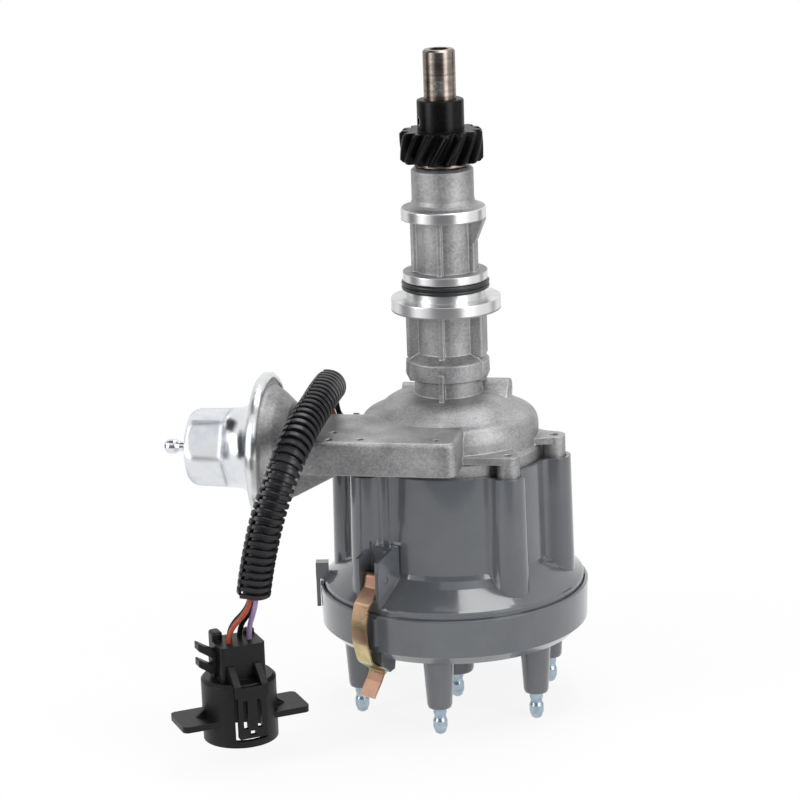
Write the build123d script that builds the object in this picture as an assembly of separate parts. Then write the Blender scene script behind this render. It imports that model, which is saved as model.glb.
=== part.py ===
from build123d import *

import math
import os

# Ignition distributor for an inline six-cylinder engine, standing on the terminals of its cap.
# Millimetres. Z runs along the shaft, up towards the drive gear, and z = 0 is the collar face
# that seats on the engine block. The vacuum arm points along -X.

os.makedirs("parts", exist_ok=True)

# Fits and gaps
RUNNING_GAP = 0.03
PIVOT_GAP = 0.05
FREE_GAP = 0.3
THREAD_GAP = 0.04
MOULD_GAP = 0.4
RIM_GAP = 0.15

# Shaft and its bushings
SHAFT_R = 7.11
SHAFT_END_Z = 110.1
SHAFT_END_CHAMFER = 0.8
SHAFT_RELIEF_DEPTH = 0.3
SHAFT_RELIEF_WIDTH = 1.0
HEX_ACROSS_FLATS = 7.94
HEX_DEPTH = 14.0
STUB_R = 5.0
STUB_START_Z = -56.0
BUSHING_WALL = 2.4
UPPER_BUSHING_LENGTH = 24.0
LOWER_BUSHING_LENGTH = 20.0

# Drive gear
GEAR_R = 18.35
GEAR_ROOT_R = 14.9
GEAR_TEETH = 18
GEAR_BOTTOM_Z = 60.9
GEAR_WIDTH = 14.0
HELIX_ANGLE = 30.0
HUB_R = 10.36
HUB_TOP_Z = 88.3
ROLL_PIN_R = 2.38
ROLL_PIN_Z = 82.0
WASHER_THICKNESS = 1.6
WASHER_R = 12.0

# Housing shank, from the gear down to the bowl
NECK_R = 13.8
NECK_TOP_Z = 58.8
PILOT_R = 18.85
UPPER_PILOT_Z = (35.6, 40.8)
LOWER_PILOT_Z = (8.2, 11.9)
UPPER_CORE_R = 12.6
GROOVE_R = 15.6
GROOVE_BOTTOM_Z = 3.6
UNDER_GROOVE_R = 17.5
SEAL_HALF = 2.0
SEAL_LOBE_R = 0.95
COLLAR_R = 24.4
COLLAR_THICKNESS = 5.4
LOWER_CORE_R = 13.5
BAND_R = 15.1
LOWER_RING_R = 18.2
LOWER_RING_Z = (-36.3, -26.3)
LUG_R = 18.84
DOME_TOP_Z = -43.6
DOME_LINE = ((0.0, 0.0), (0.12, 0.4), (0.36, 1.6), (0.56, 4.4), (0.68, 6.9), (0.76, 8.1), (0.86, 9.0),
             (0.945, 10.7), (0.988, 13.2), (1.0, 17.0))
RIB_WIDTH = 2.3
PAD_R_UPPER = 14.5
PAD_HALF_UPPER = 5.0
PAD_R_LOWER = 17.4
PAD_HALF_LOWER = 7.0

# Bowl
BOWL_R = 40.0
BOWL_STEP_R = 41.4
BOWL_STEP_Z = -66.0
BOWL_RIM_Z = -92.0
BOWL_INNER_R = 35.2
LEDGE_R = 36.8
LEDGE_Z = -72.9
CEILING_Z = -48.5
SIDE_BOSS_X = 27.0
EAR_R = 5.1
EAR_TOP_Z = -63.1
EAR_PLATE_THICKNESS = 3.2
EAR_ANGLES = (-48.0, 0.0, 132.0, 180.0)
SCREW_R = 2.0

# Vacuum arm
ARM_LEFT_X = -62.0
ARM_RIGHT_X = 12.3
ARM_FRONT_Y = -59.5
ARM_BACK_Y = -13.9
ARM_TOP_Z = -51.6
ARM_BOTTOM_Z = -66.6
ARM_HOLE_R = 1.6
ARM_HOLES = ((-43.7, -43.8), (-43.5, -55.4), (-30.1, -54.0), (3.5, -53.3))
CHANNEL_Y = (-39.0, -23.0)
CHANNEL_Z = (-64.6, -57.0)

# Vacuum can, turned about an axis along X
CAN_Y = -30.0
CAN_Z = -63.4
CAN_RIM_R = 34.0
CAN_JOINT_X = -77.0
CAN_SHEET = 1.0
SHEET_THICKNESS = 0.8
NOSE_R = 17.3
NOSE_FRONT_X = -112.5
STEM_R = 2.2
NOSE_FLAT_DEPTH = 1.7
BEAD_R = 3.4
BEAD_LAND = (4.6, 2.6)
NIPPLE_END_X = -124.6

# Cap adapter
CAP_R = 61.06
NECK_OUTER_R = 44.3
EAR_CIRCLE_R = NECK_OUTER_R + 2.9
NECK_WALL = 2.1
LOBE_ANGLES = (-132.0, -48.0, 0.0, 48.0, 132.0, 180.0)
LOBE_R = 7.6
ADAPTER_TOP_Z = -72.6
SKIRT_ROOT_Z = -118.0
SKIRT_R = CAP_R - 1.86
SKIRT_EDGE_Z = -128.8
SEAT_Z = -141.0
SHELF_THICKNESS = 3.0
SHELF_HOLE_R = 33.0

# Distributor cap
CAP_TOP_Z = -131.8
CAP_RIM_BOTTOM_Z = -148.8
CAP_FACE_Z = -153.2
CAP_WALL = 3.2
TOWER_CIRCLE_R = CAP_R - 14.76
TOWER_BASE_R = 7.1
TOWER_TIP_R = 5.3
TOWER_TIP_Z = -176.6
TERMINAL_R = 3.2
TERMINAL_ROOT_R = 3.0
TERMINAL_CORE_R = 2.2
FLOOR_Z = -189.6
TOWER_COUNT = 6
FIRST_TOWER_ANGLE = 30.0

# Clips
CLIP_ANGLES = (-120.0, 60.0)
CLIP_WIDTH = 8.5
CLIP_THICKNESS = 0.9
CLIP_PIN_R = 1.5
CLIP_PIVOT = (CAP_R - 6.56, -117.0)
CLIP_LINE = ((-3.9, -121.0), (2.7, -127.4), (5.24, -136.0), (4.74, -144.0), (1.74, -154.0), (-6.46, -160.2),
             (-3.46, -164.6), (1.34, -170.6))
CLIP_POINTS = tuple((CAP_R + beyond, z) for beyond, z in CLIP_LINE)
CLIP_BENDS = (1.5, 4.0, 12.0, 12.0, 6.0, 1.2, 6.0)
BRACKET_WALL = 1.9
BRACKET_R = SKIRT_R + 0.4
BRACKET_TOP_Z = (-103.8, -107.8)
BOSS_WIDTH = 12.6

# Advance mechanism in the bowl
WEIGHT_PLATE_R = 23.0
WEIGHT_PLATE_Z = (-51.6, -49.4)
WEIGHT_PIVOT_R = 19.0
WEIGHT_DRIVE_R = 11.0
WEIGHT_Z = (-56.4, -51.9)
WEIGHT_PIN_R = 1.8
SPRING_CIRCLE_R = 18.4
SPRING_LENGTH = 10.0
SLEEVE_PLATE_Z = (-58.8, -56.8)
SLEEVE_PLATE_R = 15.0
SLEEVE_R = 7.5
SLEEVE_END_Z = -112.0
ADVANCE_DEG = 12.0

# Stator and reluctor
BASE_PLATE_Z = (-74.9, -72.9)
BASE_HUB_R = 12.0
STATOR_PLATE_THICKNESS = 2.0
STATOR_R = 30.5
LINK_PIN_CIRCLE_R = 31.0
LINK_PIN_R = 2.0
STATOR_SWING_DEG = 9.2
LINK_Z = (-63.9, -62.3)
LINK_PLATE_Z = (-2.2, 2.8)
RELUCTOR_R = 17.0
RELUCTOR_Z = (-90.5, -81.0)
POLE_GAP = 0.8

# Rotor and brush
ROTOR_TOP_Z = -93.0
ROTOR_HEAD_Z = (-141.5, -134.0)
ELECTRODE_INNER_R = TOWER_CIRCLE_R - 3.7
ELECTRODE_OUTER_R = TOWER_CIRCLE_R + 3.7
CONTACT_TIP_R = ELECTRODE_INNER_R - 1.0
ROTOR_ARM_R = CONTACT_TIP_R - 3.6
BRUSH_R = 2.4

# Harness: the route of the loom's middle line, upper end first
LOOM_R = 7.5
LOOM_BORE_R = 5.6
LOOM_POINTS = ((-50.5, -17.0, -37.5), (-50.2, -30.5, -37.0), (-50.8, -45.0, -39.3), (-52.5, -59.0, -42.5),
               (-54.4, -70.5, -47.6), (-57.0, -79.0, -54.8), (-60.4, -84.4, -64.5), (-64.6, -87.3, -77.0),
               (-67.9, -88.2, -90.0), (-70.9, -87.6, -103.0), (-72.6, -86.6, -112.3))
WIRE_R = 1.15
WIRE_SPREAD = 1.8
WIRE_SAG = (0.0, 1.6, -1.8)
WIRE_BEARINGS = (90, 0, -90, 180)
WIRE_TWIST = 135.0
WIRE_START = ((-43.4, -3.8, -58.3), (-46.9, -4.1, -58.2), (-49.6, -4.5, -56.6), (-51.2, -5.4, -52.8),
              (-51.6, -7.6, -47.4), (-51.2, -11.0, -41.6))
WIRE_END = ((-74.2, -85.9, -119.6),)
WIRE_TAILS = (((-84.3, -88.7, -129.4), (-84.3, -88.7, -134.4)), ((-76.6, -82.2, -129.4), (-76.6, -82.2, -134.4)),
              ((-81.5, -79.9, -129.4), (-81.5, -79.9, -134.4)), ((-85.5, -82.5, -129.4), (-85.5, -82.5, -134.4)))
GROMMET_R = 4.4
GROMMET_ANGLE = 185.0
GROMMET_Z = -58.3

# Connector at the end of the harness
PLUG_X = -81.9
PLUG_Y = -84.0
PLUG_TURN = 33.0
PLUG_R = 16.4
PLUG_WALL = 2.2
PLUG_ROOF = 4.0
CONTACT_R = 0.9
PLUG_BOTTOM_Z = -178.4
PLUG_TOP_Z = -149.9
BLOCK_TOP_Z = -134.4
BLOCK_SIZE = (20.6, 17.0)
WING_TOP_Z = -166.6
WING_THICKNESS = 2.8
WING_WIDTH = 20.5
WING_REACH = 29.0


def turned(points, rounds=()):
    """A solid of revolution about Z from (radius, z) points; rounds are (point number, radius) pairs."""
    outline = make_face(Polyline(*points, close=True))
    for number, radius in rounds:
        corner = outline.vertices().sort_by_distance((*points[number], 0))[0]
        outline = fillet(corner, radius)
    return revolve(Plane.XZ * outline, Axis.Z)


def disc(radius, low, high, x=0.0, y=0.0):
    return Pos(x, y, (low + high) / 2) * Cylinder(radius, high - low)


def ring(outer, inner, low, high, x=0.0, y=0.0):
    return disc(outer, low, high, x, y) - disc(inner, low, high, x, y)


def block(x, y, z):
    """A box from three (low, high) pairs."""
    size = [high - low for low, high in (x, y, z)]
    middle = [(high + low) / 2 for low, high in (x, y, z)]
    return Pos(*middle) * Box(*size)


def along_x(solid, y, z):
    """Lay a solid that was turned about Z along -X: its height becomes the distance towards -X."""
    return Pos(0, y, z) * Rot(0, -90, 0) * solid


def polar(radius, degrees):
    return radius * math.cos(math.radians(degrees)), radius * math.sin(math.radians(degrees))


def save(name, shape):
    export_step(shape, f"parts/{name}.step")


def radial_plane(degrees):
    """A plane through the shaft axis: its x is the radius, its y is Z."""
    outward = (math.cos(math.radians(degrees)), math.sin(math.radians(degrees)), 0)
    sideways = (math.sin(math.radians(degrees)), -math.cos(math.radians(degrees)), 0)
    return Plane(origin=(0, 0, 0), x_dir=outward, z_dir=sideways)


# Shaft assembly

def shaft():
    journal_end_z = STUB_START_Z
    body = turned([(0, journal_end_z), (SHAFT_R, journal_end_z), (SHAFT_R, SHAFT_END_Z - SHAFT_END_CHAMFER),
                   (SHAFT_R - SHAFT_END_CHAMFER, SHAFT_END_Z), (0, SHAFT_END_Z)])
    relief_r = SHAFT_R - SHAFT_RELIEF_DEPTH
    relief = ring(SHAFT_R + 1, relief_r, HUB_TOP_Z - SHAFT_RELIEF_WIDTH, HUB_TOP_Z)
    socket = Pos(0, 0, SHAFT_END_Z - HEX_DEPTH) * extrude(
        RegularPolygon(HEX_ACROSS_FLATS / 2, 6, major_radius=False), HEX_DEPTH)
    stub = disc(STUB_R, SLEEVE_END_Z - 3.0, journal_end_z)
    groove = ring(STUB_R + 1, STUB_R - 0.8, SLEEVE_END_Z - 1.7, SLEEVE_END_Z - FREE_GAP)
    pin_hole = Pos(0, 0, ROLL_PIN_Z) * Rot(0, 90, 0) * Cylinder(ROLL_PIN_R + RUNNING_GAP, 3 * SHAFT_R)
    return body + stub - relief - socket - groove - pin_hole


def gear_outline(turn):
    """One section of the toothed rim, turned about the shaft."""
    corners = []
    pitch = 360 / GEAR_TEETH
    for tooth in range(GEAR_TEETH):
        start = tooth * pitch + turn
        for share, radius in ((0.06, GEAR_ROOT_R), (0.3, GEAR_R), (0.7, GEAR_R), (0.94, GEAR_ROOT_R)):
            corners.append(polar(radius, start + share * pitch))
    return make_face(Polyline(*corners, close=True))


def drive_gear():
    steps = 3
    pitch_r = (GEAR_R + GEAR_ROOT_R) / 2
    twist = -math.degrees(GEAR_WIDTH * math.tan(math.radians(HELIX_ANGLE)) / pitch_r)
    sections = [Pos(0, 0, GEAR_BOTTOM_Z + GEAR_WIDTH * step / steps) * gear_outline(twist * step / steps)
                for step in range(steps + 1)]
    rim = loft(sections, ruled=True)
    top = GEAR_BOTTOM_Z + GEAR_WIDTH
    bevel = 1.2
    blank = turned([(0, GEAR_BOTTOM_Z), (GEAR_R - bevel, GEAR_BOTTOM_Z), (GEAR_R + 0.2, GEAR_BOTTOM_Z + bevel),
                    (GEAR_R + 0.2, top - bevel), (GEAR_R - bevel, top), (0, top)])
    hub = turned([(0, GEAR_BOTTOM_Z), (HUB_R, GEAR_BOTTOM_Z), (HUB_R, HUB_TOP_Z - 0.6), (HUB_R - 0.6, HUB_TOP_Z),
                  (0, HUB_TOP_Z)])
    pin_hole = Pos(0, 0, ROLL_PIN_Z) * Rot(0, 90, 0) * Cylinder(ROLL_PIN_R + RUNNING_GAP, 3 * HUB_R)
    return (rim & blank) + hub - disc(SHAFT_R, GEAR_BOTTOM_Z, HUB_TOP_Z) - pin_hole


def gear_roll_pin():
    length = 2 * HUB_R - 0.4
    pin = Cylinder(ROLL_PIN_R, length) - Cylinder(ROLL_PIN_R - 0.7, length)
    slit = Pos(ROLL_PIN_R, 0, 0) * Box(2 * ROLL_PIN_R, 0.7, length)
    return Pos(0, 0, ROLL_PIN_Z) * Rot(0, 90, 0) * (pin - slit)


def thrust_washer():
    return ring(WASHER_R, SHAFT_R + RUNNING_GAP, GEAR_BOTTOM_Z - WASHER_THICKNESS, GEAR_BOTTOM_Z)


def weight_pivots():
    return [polar(WEIGHT_PIVOT_R, degrees) for degrees in (90, 270)]


def weight_plate():
    """The plate pressed on the shaft, with the two pins that the weights swing on."""
    low, high = WEIGHT_PLATE_Z
    plate = ring(WEIGHT_PLATE_R, SHAFT_R, low, high)
    for x, y in weight_pivots():
        plate += disc(WEIGHT_PIN_R, WEIGHT_Z[0] - 0.2, low, x, y)
    reach = SPRING_LENGTH / 2 + 0.8
    for place in spring_places():
        plate += place * Pos(0, reach, 0.6) * Cylinder(0.8, 5.0)
    return plate & disc(WEIGHT_PLATE_R, WEIGHT_Z[0] - 0.2, high)


def advance_weight(first_angle):
    """A crescent weight that swings on its pivot; its drive pin reaches down into the sleeve's slot."""
    low, high = WEIGHT_Z
    sector = make_face(Polyline((0, 0), polar(40, -16), polar(60, 30), polar(60, 70), polar(40, 92), close=True))
    crescent = extrude(sector & (Circle(24.0) - Circle(13.6)), high - low)
    lug = extrude(make_face(Polyline((9.2, -2.6), (15, -5), (15, 5), (9.2, 2.6), close=True)), high - low)
    body = Pos(0, 0, low) * (crescent + lug)
    body -= disc(WEIGHT_PIN_R + PIVOT_GAP, low, high, WEIGHT_PIVOT_R, 0)
    body += disc(WEIGHT_PIN_R, SLEEVE_PLATE_Z[0], low, WEIGHT_DRIVE_R, 0)
    rest = ADVANCE_DEG / 2 * WEIGHT_DRIVE_R / (WEIGHT_PIVOT_R - WEIGHT_DRIVE_R)
    swung = Pos(WEIGHT_PIVOT_R, 0, 0) * Rot(0, 0, rest) * Pos(-WEIGHT_PIVOT_R, 0, 0) * body
    return Rot(0, 0, first_angle) * swung


def spring_places():
    """The gaps between the two weights, where the springs lie."""
    return [Rot(0, 0, degrees) * Pos(SPRING_CIRCLE_R, 0, WEIGHT_Z[0] + 2.4) for degrees in (38, 218)]


def advance_springs():
    """Two close-wound springs, each hooked to a post of the weight plate."""
    coil = Rot(90, 0, 0) * (Cylinder(1.6, SPRING_LENGTH) - Cylinder(0.9, SPRING_LENGTH))
    return [place * coil for place in spring_places()]


def advance_sleeve():
    """The tube that carries the reluctor and rotor, with the slotted plate that the weights turn."""
    low, high = SLEEVE_PLATE_Z
    tube = disc(SLEEVE_R, SLEEVE_END_Z, high)
    plate = disc(SLEEVE_PLATE_R, low, high)
    body = tube + plate - disc(STUB_R + RUNNING_GAP, SLEEVE_END_Z, high)
    slot = extrude(SlotOverall(2 * WEIGHT_PIN_R + 1.6, 2 * WEIGHT_PIN_R + 2 * FREE_GAP), high - low)
    for degrees in (90, 270):
        x, y = polar(WEIGHT_DRIVE_R + 0.15, degrees - ADVANCE_DEG / 2)
        body -= Pos(x, y, low) * Rot(0, 0, degrees - ADVANCE_DEG / 2) * slot
    key = block((-1.0, 1.0), (SLEEVE_R - 1.0, SLEEVE_R + 0.8), (SLEEVE_END_Z, ROTOR_TOP_Z - 1))
    return body + key


def sleeve_retainer():
    return ring(6.6, STUB_R - 0.75, SLEEVE_END_Z - 1.6, SLEEVE_END_Z - FREE_GAP - 0.05)


def reluctor():
    """The six-toothed star whose teeth pass the pole ring."""
    low, high = RELUCTOR_Z
    star = Circle(10.5)
    for tooth in range(TOWER_COUNT):
        angle = tooth * 360 / TOWER_COUNT
        star += Rot(0, 0, angle) * Pos(RELUCTOR_R / 2, 0) * Rectangle(RELUCTOR_R, 3.2)
    return Pos(0, 0, low) * extrude(star - Circle(SLEEVE_R), high - low)


def rotor():
    """The tall moulded rotor, pressed on the sleeve, with the arm that carries its contact."""
    low, high = ROTOR_HEAD_Z
    stem = turned([(SLEEVE_R, ROTOR_TOP_Z), (10.2, ROTOR_TOP_Z), (12.0, high), (21.0, high), (21.0, low), (0, low),
                   (0, SLEEVE_END_Z - 5.0), (SLEEVE_R, SLEEVE_END_Z - 5.0)], [(2, 2.0)])
    arm = block((0, ROTOR_ARM_R), (-6.5, 6.5), (low, high))
    counter = block((-26.0, 0), (-9.0, 9.0), (low, high))
    key_way = block((-1.05, 1.05), (0, SLEEVE_R + 0.85), (SLEEVE_END_Z - 5.0, ROTOR_TOP_Z))
    return stem + arm + counter - key_way


def rotor_contact():
    """Brass blade with the raised spring leaf that the carbon brush runs on."""
    low = ROTOR_HEAD_Z[0]
    blade = block((-6.0, CONTACT_TIP_R), (-3.2, 3.2), (low - 1.2, low))
    tip = block((ROTOR_ARM_R + FREE_GAP, CONTACT_TIP_R), (-3.2, 3.2), (low - 1.2, low + 3.4))
    return blade + tip + disc(4.2, low - 1.9, low - 1.2)


# Housing

def shank_outline():
    """(radius, z) points of the outside, from the gear end down to the bowl rim."""
    upper_low, upper_high = UPPER_PILOT_Z
    lower_low, lower_high = LOWER_PILOT_Z
    ring_low, ring_high = LOWER_RING_Z
    top = [(NECK_R - 1.6, NECK_TOP_Z), (NECK_R, NECK_TOP_Z - 1.6), (NECK_R, upper_high + 3.6),
           (NECK_R + 0.5, upper_high + 1.8), (NECK_R + 1.6, upper_high + 0.6), (NECK_R + 3.4, upper_high),
           (PILOT_R - 0.6, upper_high),
           (PILOT_R, upper_high - 0.6), (PILOT_R, upper_low), (UPPER_CORE_R, upper_low),
           (UPPER_CORE_R, lower_high), (PILOT_R, lower_high), (PILOT_R, lower_low),
           (GROOVE_R, lower_low), (GROOVE_R, GROOVE_BOTTOM_Z), (UNDER_GROOVE_R, GROOVE_BOTTOM_Z),
           (UNDER_GROOVE_R, 0), (COLLAR_R, 0), (COLLAR_R, -COLLAR_THICKNESS), (LOWER_CORE_R, -COLLAR_THICKNESS)]
    middle = [(LOWER_CORE_R, ring_high + 1.6), (LOWER_RING_R - 0.4, ring_high - 1.6),
              (LOWER_RING_R, ring_high - 2.1), (LOWER_RING_R, ring_low + 0.5), (LOWER_RING_R - 0.5, ring_low),
              (BAND_R, ring_low)]
    return top + middle


def shank():
    """The turned outside: machined rings above, then the smooth dome down to the bowl's rim."""
    reach = BOWL_R - BAND_R
    dome = [(BAND_R + reach * share, DOME_TOP_Z - drop) for share, drop in DOME_LINE]
    above = Polyline((0, NECK_TOP_Z), *shank_outline(), dome[0])
    below = Polyline(dome[-1], (BOWL_R, BOWL_STEP_Z), (BOWL_STEP_R, BOWL_STEP_Z - 1.4), (BOWL_STEP_R, BOWL_RIM_Z),
                     (0, BOWL_RIM_Z), (0, NECK_TOP_Z))
    outline = make_face((above + Spline(*dome) + below).edges())
    return revolve(Plane.XZ * outline, Axis.Z)


def soft_bar(half_x, half_y, levels, corner):
    """A bar through the shank's middle with its upright edges rounded."""
    bar = block((-half_x, half_x), (-half_y, half_y), levels)
    return fillet(bar.edges().filter_by(Axis.Z), corner)


def shank_ribs():
    """Casting ribs front and back, pads at the sides, and the wedge under the upper pilot."""
    upper = (LOWER_PILOT_Z[1], UPPER_PILOT_Z[0])
    lower = (LOWER_RING_Z[1], -COLLAR_THICKNESS)
    half = RIB_WIDTH / 2
    ribs = soft_bar(half, UPPER_CORE_R + 2.1, upper, 0.7)
    ribs += soft_bar(half, LOWER_CORE_R + 1.7, lower, 0.7)
    ribs += soft_bar(half, LUG_R + 0.4, (DOME_TOP_Z - 1.4, LOWER_RING_Z[0] + 4.2), 0.7)
    ribs += soft_bar(PAD_R_UPPER, PAD_HALF_UPPER, upper, 1.6)
    ribs += soft_bar(PAD_R_LOWER, PAD_HALF_LOWER, lower, 1.8)
    draft = turned([(0, 0), (PILOT_R - 0.6, 0), (PILOT_R - 0.1, upper[1]), (0, upper[1])])
    wedge = Polyline((UPPER_CORE_R - 2, upper[1]), (PILOT_R, upper[1]), (PAD_R_UPPER, upper[1] - 10.6),
                     (UPPER_CORE_R - 2, upper[1] - 10.6), close=True)
    ribs += extrude(Plane.XZ * make_face(wedge), PAD_HALF_UPPER, both=True) & draft
    high, low = LOWER_RING_Z[1], LOWER_RING_Z[0]
    collar = turned([(10, high + 1.6), (PAD_R_LOWER - 1.6, high + 0.6), (LUG_R - 0.2, high - 2.4), (LUG_R, low + 2.0),
                     (PAD_R_LOWER, low - 1.2), (10, low - 1.2)])
    return ribs + (collar & soft_bar(2 * PILOT_R, PAD_HALF_LOWER, (low - 2, high + 2), 1.0))


def dome_bosses():
    """The side boss with its gusset at the right, and the smaller one at the back left."""
    outline = make_hull((Pos(8.5, -44.9) * Circle(5.2)).edges() + (Pos(-5.2, -50.2) * Circle(1.4)).edges())
    main = extrude(Plane.YZ.offset(SIDE_BOSS_X) * outline, -17.0)
    main = fillet(main.faces().sort_by(Axis.X)[-1].edges(), 0.9)
    small = Pos(0, 12.0, -47.2) * Rot(0, 90, 0) * Pos(0, 0, -16.0) * Cylinder(4.0, 14.0)
    hole = Pos(0, 8.5, -44.9) * Rot(0, 90, 0) * Pos(0, 0, 23.5) * Cylinder(1.7, 7.0)
    return main + small, hole


def ears():
    """Screw bosses around the bowl, each tied to the wall by a plate at its top."""
    bosses = Part()
    low = EAR_TOP_Z - EAR_PLATE_THICKNESS
    for degrees in EAR_ANGLES:
        x, y = polar(EAR_CIRCLE_R, degrees)
        bosses += disc(EAR_R, BOWL_RIM_Z, EAR_TOP_Z, x, y)
        web = Polyline((34.0, -9.0), (EAR_CIRCLE_R, -EAR_R), (EAR_CIRCLE_R, EAR_R), (34.0, 9.0), close=True)
        bosses += Pos(0, 0, low) * Rot(0, 0, degrees) * extrude(make_face(web), EAR_PLATE_THICKNESS)
        fin = block((36.0, EAR_CIRCLE_R), (-1.6, 1.6), (BOWL_RIM_Z, low))
        bosses += Rot(0, 0, degrees) * fin
    x, y = polar(EAR_CIRCLE_R, EAR_ANGLES[0])
    shelf = Polyline((ARM_RIGHT_X - 2, y - EAR_R), (x, y - EAR_R), (x, y), (20.0, -25.0), (ARM_RIGHT_X - 2, -30.0),
                     close=True)
    return bosses + Pos(0, 0, low) * extrude(make_face(shelf), EAR_PLATE_THICKNESS)


def arm():
    body = block((ARM_LEFT_X, ARM_RIGHT_X), (ARM_FRONT_Y, ARM_BACK_Y), (ARM_BOTTOM_Z, ARM_TOP_Z))
    corners = body.edges().filter_by(Axis.Z).filter_by(lambda e: e.center().Y < -50)
    body = fillet(corners, 5.0)
    rims = body.faces().sort_by(Axis.Z)[-1].edges().filter_by(lambda e: e.center().Y < -20)
    return fillet(rims, 2.2)


def bowl_cavity():
    walls = [(0, CEILING_Z), (26.0, CEILING_Z), (30.0, -52.6), (33.0, -55.2), (BOWL_INNER_R, -58.0),
             (BOWL_INNER_R, LEDGE_Z), (LEDGE_R, LEDGE_Z), (LEDGE_R, BOWL_RIM_Z), (0, BOWL_RIM_Z)]
    cavity = turned(walls)
    for x, y in base_screw_places():
        post = disc(4.4, LEDGE_Z, CEILING_Z + 2, x, y) + Pos(0, 0, (LEDGE_Z + CEILING_Z) / 2) * (
            Rot(0, 0, math.degrees(math.atan2(y, x))) * Pos(35, 0, 0) * Box(8, 8.8, CEILING_Z - LEDGE_Z))
        cavity -= post
    return cavity


def base_screw_places():
    return [polar(32.0, degrees) for degrees in (30, 150)]


def housing():
    body = shank() + shank_ribs() + ears() + arm()
    bosses, boss_hole = dome_bosses()
    body += bosses
    body -= bowl_cavity()
    body -= boss_hole
    bushing_r = SHAFT_R + RUNNING_GAP + BUSHING_WALL
    body -= disc(bushing_r, NECK_TOP_Z - UPPER_BUSHING_LENGTH, NECK_TOP_Z)
    body -= disc(bushing_r, CEILING_Z, CEILING_Z + LOWER_BUSHING_LENGTH)
    body -= disc(SHAFT_R + 0.9, CEILING_Z, NECK_TOP_Z)
    body -= block((ARM_LEFT_X, -8.0), CHANNEL_Y, CHANNEL_Z)
    for x, y in ARM_HOLES:
        body -= disc(ARM_HOLE_R, ARM_BOTTOM_Z, ARM_TOP_Z, x, y)
    for degrees in EAR_ANGLES:
        x, y = polar(EAR_CIRCLE_R, degrees)
        body -= disc(SCREW_R + THREAD_GAP, BOWL_RIM_Z, EAR_TOP_Z, x, y)
    for x, y in base_screw_places():
        body -= disc(1.6 + THREAD_GAP, LEDGE_Z, LEDGE_Z + 9.0, x, y)
    for x, y in vacuum_screw_places():
        body -= disc(1.8 + THREAD_GAP, ARM_BOTTOM_Z, ARM_BOTTOM_Z + 1.8, x, y)
    body -= grommet_place() * Cylinder(GROMMET_R - 1.2, 14.0)
    return body


def bushing(low, high):
    return ring(SHAFT_R + RUNNING_GAP + BUSHING_WALL, SHAFT_R + RUNNING_GAP, low, high)


def o_ring():
    """The square seal with four lobes, two of them standing proud of the groove."""
    middle_z = (GROOVE_BOTTOM_Z + LOWER_PILOT_Z[0]) / 2
    middle_r = GROOVE_R + SEAL_HALF
    lobe = SEAL_HALF - SEAL_LOBE_R
    section = Pos(middle_r, middle_z) * Rectangle(2 * lobe + 0.5, 2 * lobe + 0.5)
    for x, z in ((-lobe, -lobe), (-lobe, lobe), (lobe, -lobe), (lobe, lobe)):
        section += Pos(middle_r + x, middle_z + z) * Circle(SEAL_LOBE_R)
    return revolve(Plane.XZ * section, Axis.Z)


def screw(x, y, head_z, thread_r, head_r, head_height, length):
    """A pan-head screw driven upwards from head_z."""
    head = turned([(0, head_z - head_height), (head_r - 0.6, head_z - head_height), (head_r, head_z - 0.8),
                   (head_r, head_z), (0, head_z)])
    slot = block((-head_r, head_r), (-0.5, 0.5), (head_z - head_height, head_z - head_height + 1.0))
    return Pos(x, y, 0) * (head + disc(thread_r, head_z, head_z + length) - slot)


def adapter_screws():
    head_z = BOWL_RIM_Z - SHELF_THICKNESS
    length = EAR_TOP_Z - 1.5 - head_z
    return [screw(*polar(EAR_CIRCLE_R, degrees), head_z, SCREW_R, 4.0, 2.6, length) for degrees in EAR_ANGLES]


# Stator

def base_plate():
    """The fixed plate under the bowl ledge, with the hub that the stator plate turns on."""
    low, high = BASE_PLATE_Z
    plate = ring(LEDGE_R - 0.1, SLEEVE_R + 1.2, low, high)
    hub_end = stator_levels()[0] - 2.2
    plate += ring(BASE_HUB_R, SLEEVE_R + 1.2, hub_end, low)
    plate -= ring(BASE_HUB_R + 1, BASE_HUB_R - 0.8, hub_end + 0.8, hub_end + 1.9)
    slot = SlotArc(CenterArc((0, 0), LINK_PIN_CIRCLE_R, -97, 14), 2 * LINK_PIN_R + 1.2)
    plate -= Pos(0, 0, low) * extrude(slot, high - low)
    for x, y in base_screw_places():
        plate -= disc(1.8, low, high, x, y)
    return plate


def base_plate_screws():
    return [screw(x, y, BASE_PLATE_Z[0], 1.6, 3.0, 2.0, 8.5) for x, y in base_screw_places()]


def stator_levels():
    high = BASE_PLATE_Z[0] - FREE_GAP
    low = high - STATOR_PLATE_THICKNESS
    return low, high


def stator_plate():
    low, high = stator_levels()
    plate = ring(STATOR_R - 4.0, BASE_HUB_R + PIVOT_GAP, low, high)
    x, y = polar(LINK_PIN_CIRCLE_R, -90 + STATOR_SWING_DEG / 2)
    plate += disc(4.0, low, high, x, y) + Pos(0, 0, low) * Rot(0, 0, -90 + STATOR_SWING_DEG / 2) * (
        Pos(26.5, 0, STATOR_PLATE_THICKNESS / 2) * Box(9.0, 7.0, STATOR_PLATE_THICKNESS))
    return plate + disc(LINK_PIN_R, high, LINK_Z[1] + 1.2, x, y)


def stator_retainer():
    """The snap ring in the hub's groove that holds the stator plate up."""
    hub_end = stator_levels()[0] - 2.2
    return ring(BASE_HUB_R + 2.0, BASE_HUB_R - 0.75, hub_end + 0.85, hub_end + 1.85)


def magnet_ring():
    high = stator_levels()[0]
    return ring(26.0, 19.0, high - 2.6, high)


def pole_levels():
    coil_low = RELUCTOR_Z[0] + 2.0
    return RELUCTOR_Z[0], coil_low


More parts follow.
